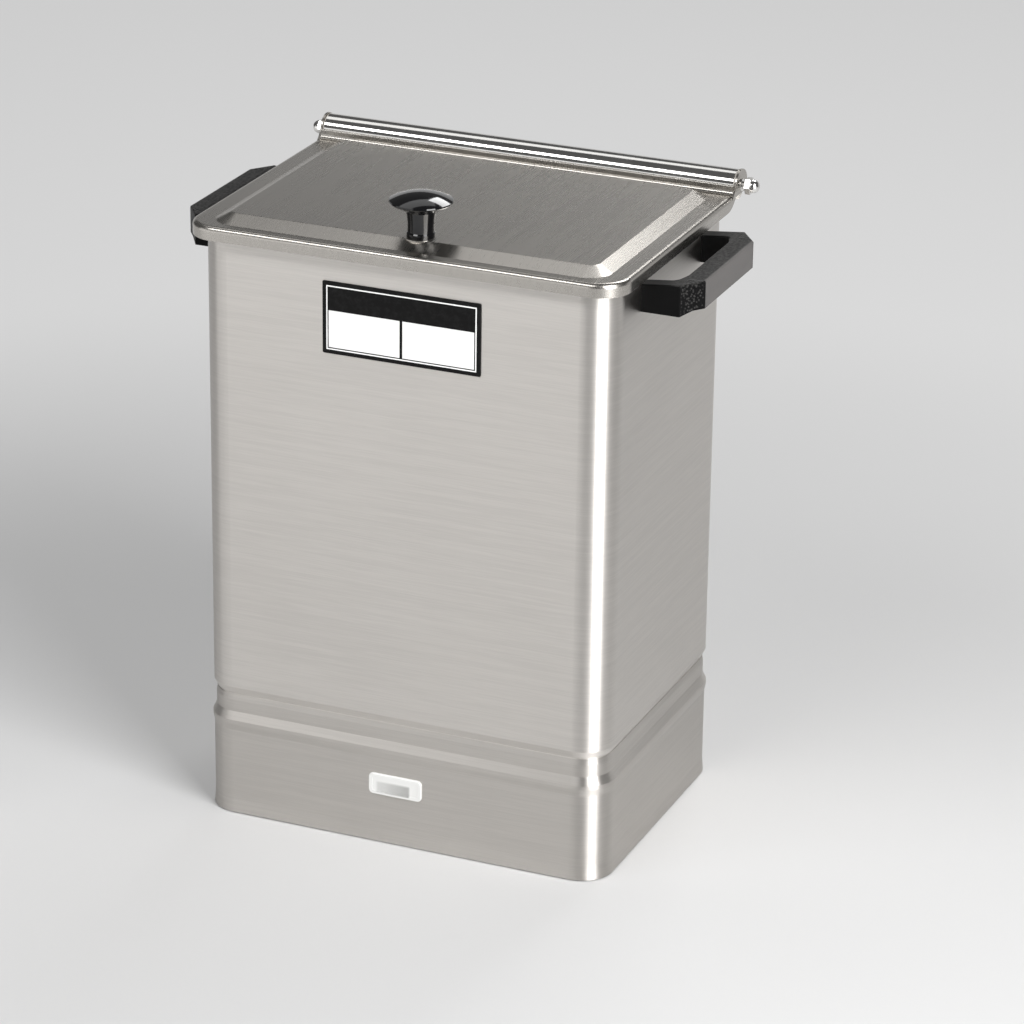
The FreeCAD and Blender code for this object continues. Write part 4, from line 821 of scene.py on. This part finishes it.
class HEATER_OT_stage(bpy.types.Operator):
    """Set the paper sweep, the lamps, the room and the camera."""

    bl_idname = "heater.stage"
    bl_label = "Studio"

    def execute(self, context):
        studio = context.scene.heater_studio
        self.sweep(context, studio)
        self.room(context, studio)
        self.lamps(context, studio)
        self.camera(context, studio)
        return {"FINISHED"}

    def sweep(self, context, studio):
        """A floor that curves up far behind the heater."""
        mesh = bpy.data.meshes.new("paper_sweep")
        shape = bmesh.new()
        rows = []
        profile = [(SWEEP_FRONT, 0.0), (SWEEP_REACH, 0.0)]
        for k in range(1, SWEEP_SEGMENTS + 1):
            turn = math.pi / 2 * k / SWEEP_SEGMENTS
            back, up = SWEEP_RADIUS * math.sin(turn), SWEEP_RADIUS * (1 - math.cos(turn))
            profile.append((SWEEP_REACH + back, up))
        profile.append((SWEEP_REACH + SWEEP_RADIUS, SWEEP_RISE))
        for y, z in profile:
            rows.append([shape.verts.new((x, y, z)) for x in (-SWEEP_HALF_WIDTH, SWEEP_HALF_WIDTH)])
        for near, far in zip(rows, rows[1:]):
            shape.faces.new((near[0], near[1], far[1], far[0]))
        shape.to_mesh(mesh)
        shape.free()
        mesh.shade_smooth()
        floor = bpy.data.objects.new("paper_sweep", mesh)
        context.collection.objects.link(floor)
        paper = Finish("sweep_paper")
        fine = paper.noise((0.002, 0.002, 0.002), 2.0, 0.5)
        tone = paper.blend(fine, shaded(studio.floor_colour, 0.99), shaded(studio.floor_colour, 1.01))
        x, y, _ = paper.axes()
        # Painted shade: the even glow fades out towards the heater, so the paper near it is darker.
        away = (x * x + y * y).smooth(0.04, 1.0)
        share = away * (studio.far_evenness - studio.evenness) + studio.evenness
        matt = paper.node("ShaderNodeBsdfPrincipled", inputs={"Base Color": tone, "Roughness": 0.85})
        glow = paper.node("ShaderNodeEmission", inputs={"Color": rgba(studio.floor_glow)})
        mixed = paper.node("ShaderNodeMixShader", inputs=[self.rays(paper) * share, matt, glow])
        mesh.materials.append(paper.end(mixed))

    @staticmethod
    def rays(paper):
        """1 for what the camera sees, directly, mirrored or through glass, and 0 for all other light."""
        camera, mirrored, through = (paper.node("ShaderNodeLightPath", output=k) for k in (0, 3, 6))
        return camera + mirrored + through

    def room(self, context, studio):
        """Even light from the room."""
        world = bpy.data.worlds.new("studio_room")
        world.use_nodes = True
        context.scene.world = world
        ground = world.node_tree.nodes["Background"]
        ground.inputs["Color"].default_value = (1.0, 1.0, 1.0, 1.0)
        ground.inputs["Strength"].default_value = studio.world_level

    def lamps(self, context, studio):
        """A tall strip at the right, and soft boxes at the back, front left, overhead and high right."""
        for name, setting, place, target, width, height in LAMPS:
            self.lamp(context, name, getattr(studio, setting), place, target, width, height)

    def lamp(self, context, name, power, place, target, width, height):
        """One soft box that faces its target."""
        data = bpy.data.lights.new(name, "AREA")
        data.shape = "RECTANGLE"
        data.size = width
        data.size_y = height
        data.energy = power
        lamp = bpy.data.objects.new(name, data)
        lamp.location = place
        lamp.rotation_euler = (Vector(target) - Vector(place)).to_track_quat("-Z", "Y").to_euler()
        context.collection.objects.link(lamp)

    def camera(self, context, studio):
        """The camera looks down on the front right corner from a long way off."""
        yaw_cos, yaw_sin = math.cos(CAMERA_YAW), math.sin(CAMERA_YAW)
        pitch_cos, pitch_sin = math.cos(CAMERA_PITCH), math.sin(CAMERA_PITCH)
        roll_cos, roll_sin = math.cos(CAMERA_ROLL), math.sin(CAMERA_ROLL)
        turn = Matrix(((yaw_cos, yaw_sin, 0), (-yaw_sin, yaw_cos, 0), (0, 0, 1)))
        upright = Matrix(((1, 0, 0), (0, 0, -1), (0, 1, 0)))
        tilt = Matrix(((1, 0, 0), (0, pitch_cos, -pitch_sin), (0, pitch_sin, pitch_cos)))
        lean = Matrix(((roll_cos, -roll_sin, 0), (roll_sin, roll_cos, 0), (0, 0, 1)))
        view = lean @ tilt @ upright @ turn
        place = (Vector(CAMERA_BASE) - view.transposed() @ Vector(CAMERA_OFFSET)) * CAMERA_UNIT
        place = place + Vector((0, TANK_SHIFT, 0))
        pose = Matrix((view[0], -view[1], -view[2])).transposed().to_4x4()
        data = bpy.data.cameras.new("camera")
        data.lens = studio.lens
        data.sensor_width = 36.0
        data.clip_end = 50.0
        camera = bpy.data.objects.new("camera", data)
        camera.matrix_world = Matrix.Translation(place) @ pose
        context.collection.objects.link(camera)
        context.scene.camera = camera
        context.scene.view_settings.view_transform = "Standard"


class HEATER_PT_panel(bpy.types.Panel):
    """The heater's settings and operators."""

    bl_idname = "HEATER_PT_panel"
    bl_label = "Hot pack heater"
    bl_space_type = "VIEW_3D"
    bl_region_type = "UI"
    bl_category = "Heater"

    def draw(self, context):
        for name in GROUPS:
            group = getattr(context.scene, name)
            box = self.layout.box()
            for key in group.__annotations__:
                box.prop(group, key)
        for operator in OPERATORS:
            self.layout.operator(operator.bl_idname)


GROUPS = {
    "heater_steel": HeaterSteel,
    "heater_moulding": HeaterMoulding,
    "heater_lamp": HeaterLamp,
    "heater_studio": HeaterStudio,
}
OPERATORS = (
    HEATER_OT_tank, HEATER_OT_lid, HEATER_OT_hinge, HEATER_OT_handles, HEATER_OT_front, HEATER_OT_underside,
    HEATER_OT_controls, HEATER_OT_rack, HEATER_OT_screws, HEATER_OT_welds, HEATER_OT_stage,
)


def register():
    """Register the classes and hang the settings on the scene."""
    for item in (*GROUPS.values(), *OPERATORS, HEATER_PT_panel):
        bpy.utils.register_class(item)
    for name, group in GROUPS.items():
        setattr(bpy.types.Scene, name, bpy.props.PointerProperty(type=group))


def unregister():
    """Take the settings and the classes away."""
    for name in GROUPS:
        delattr(bpy.types.Scene, name)
    for item in reversed((*GROUPS.values(), *OPERATORS, HEATER_PT_panel)):
        bpy.utils.unregister_class(item)


def main():
    """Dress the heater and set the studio."""
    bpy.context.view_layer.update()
    register()
    for operator in OPERATORS:
        group, name = operator.bl_idname.split(".")
        getattr(getattr(bpy.ops, group), name)()


if __name__ == "__main__":
    main()
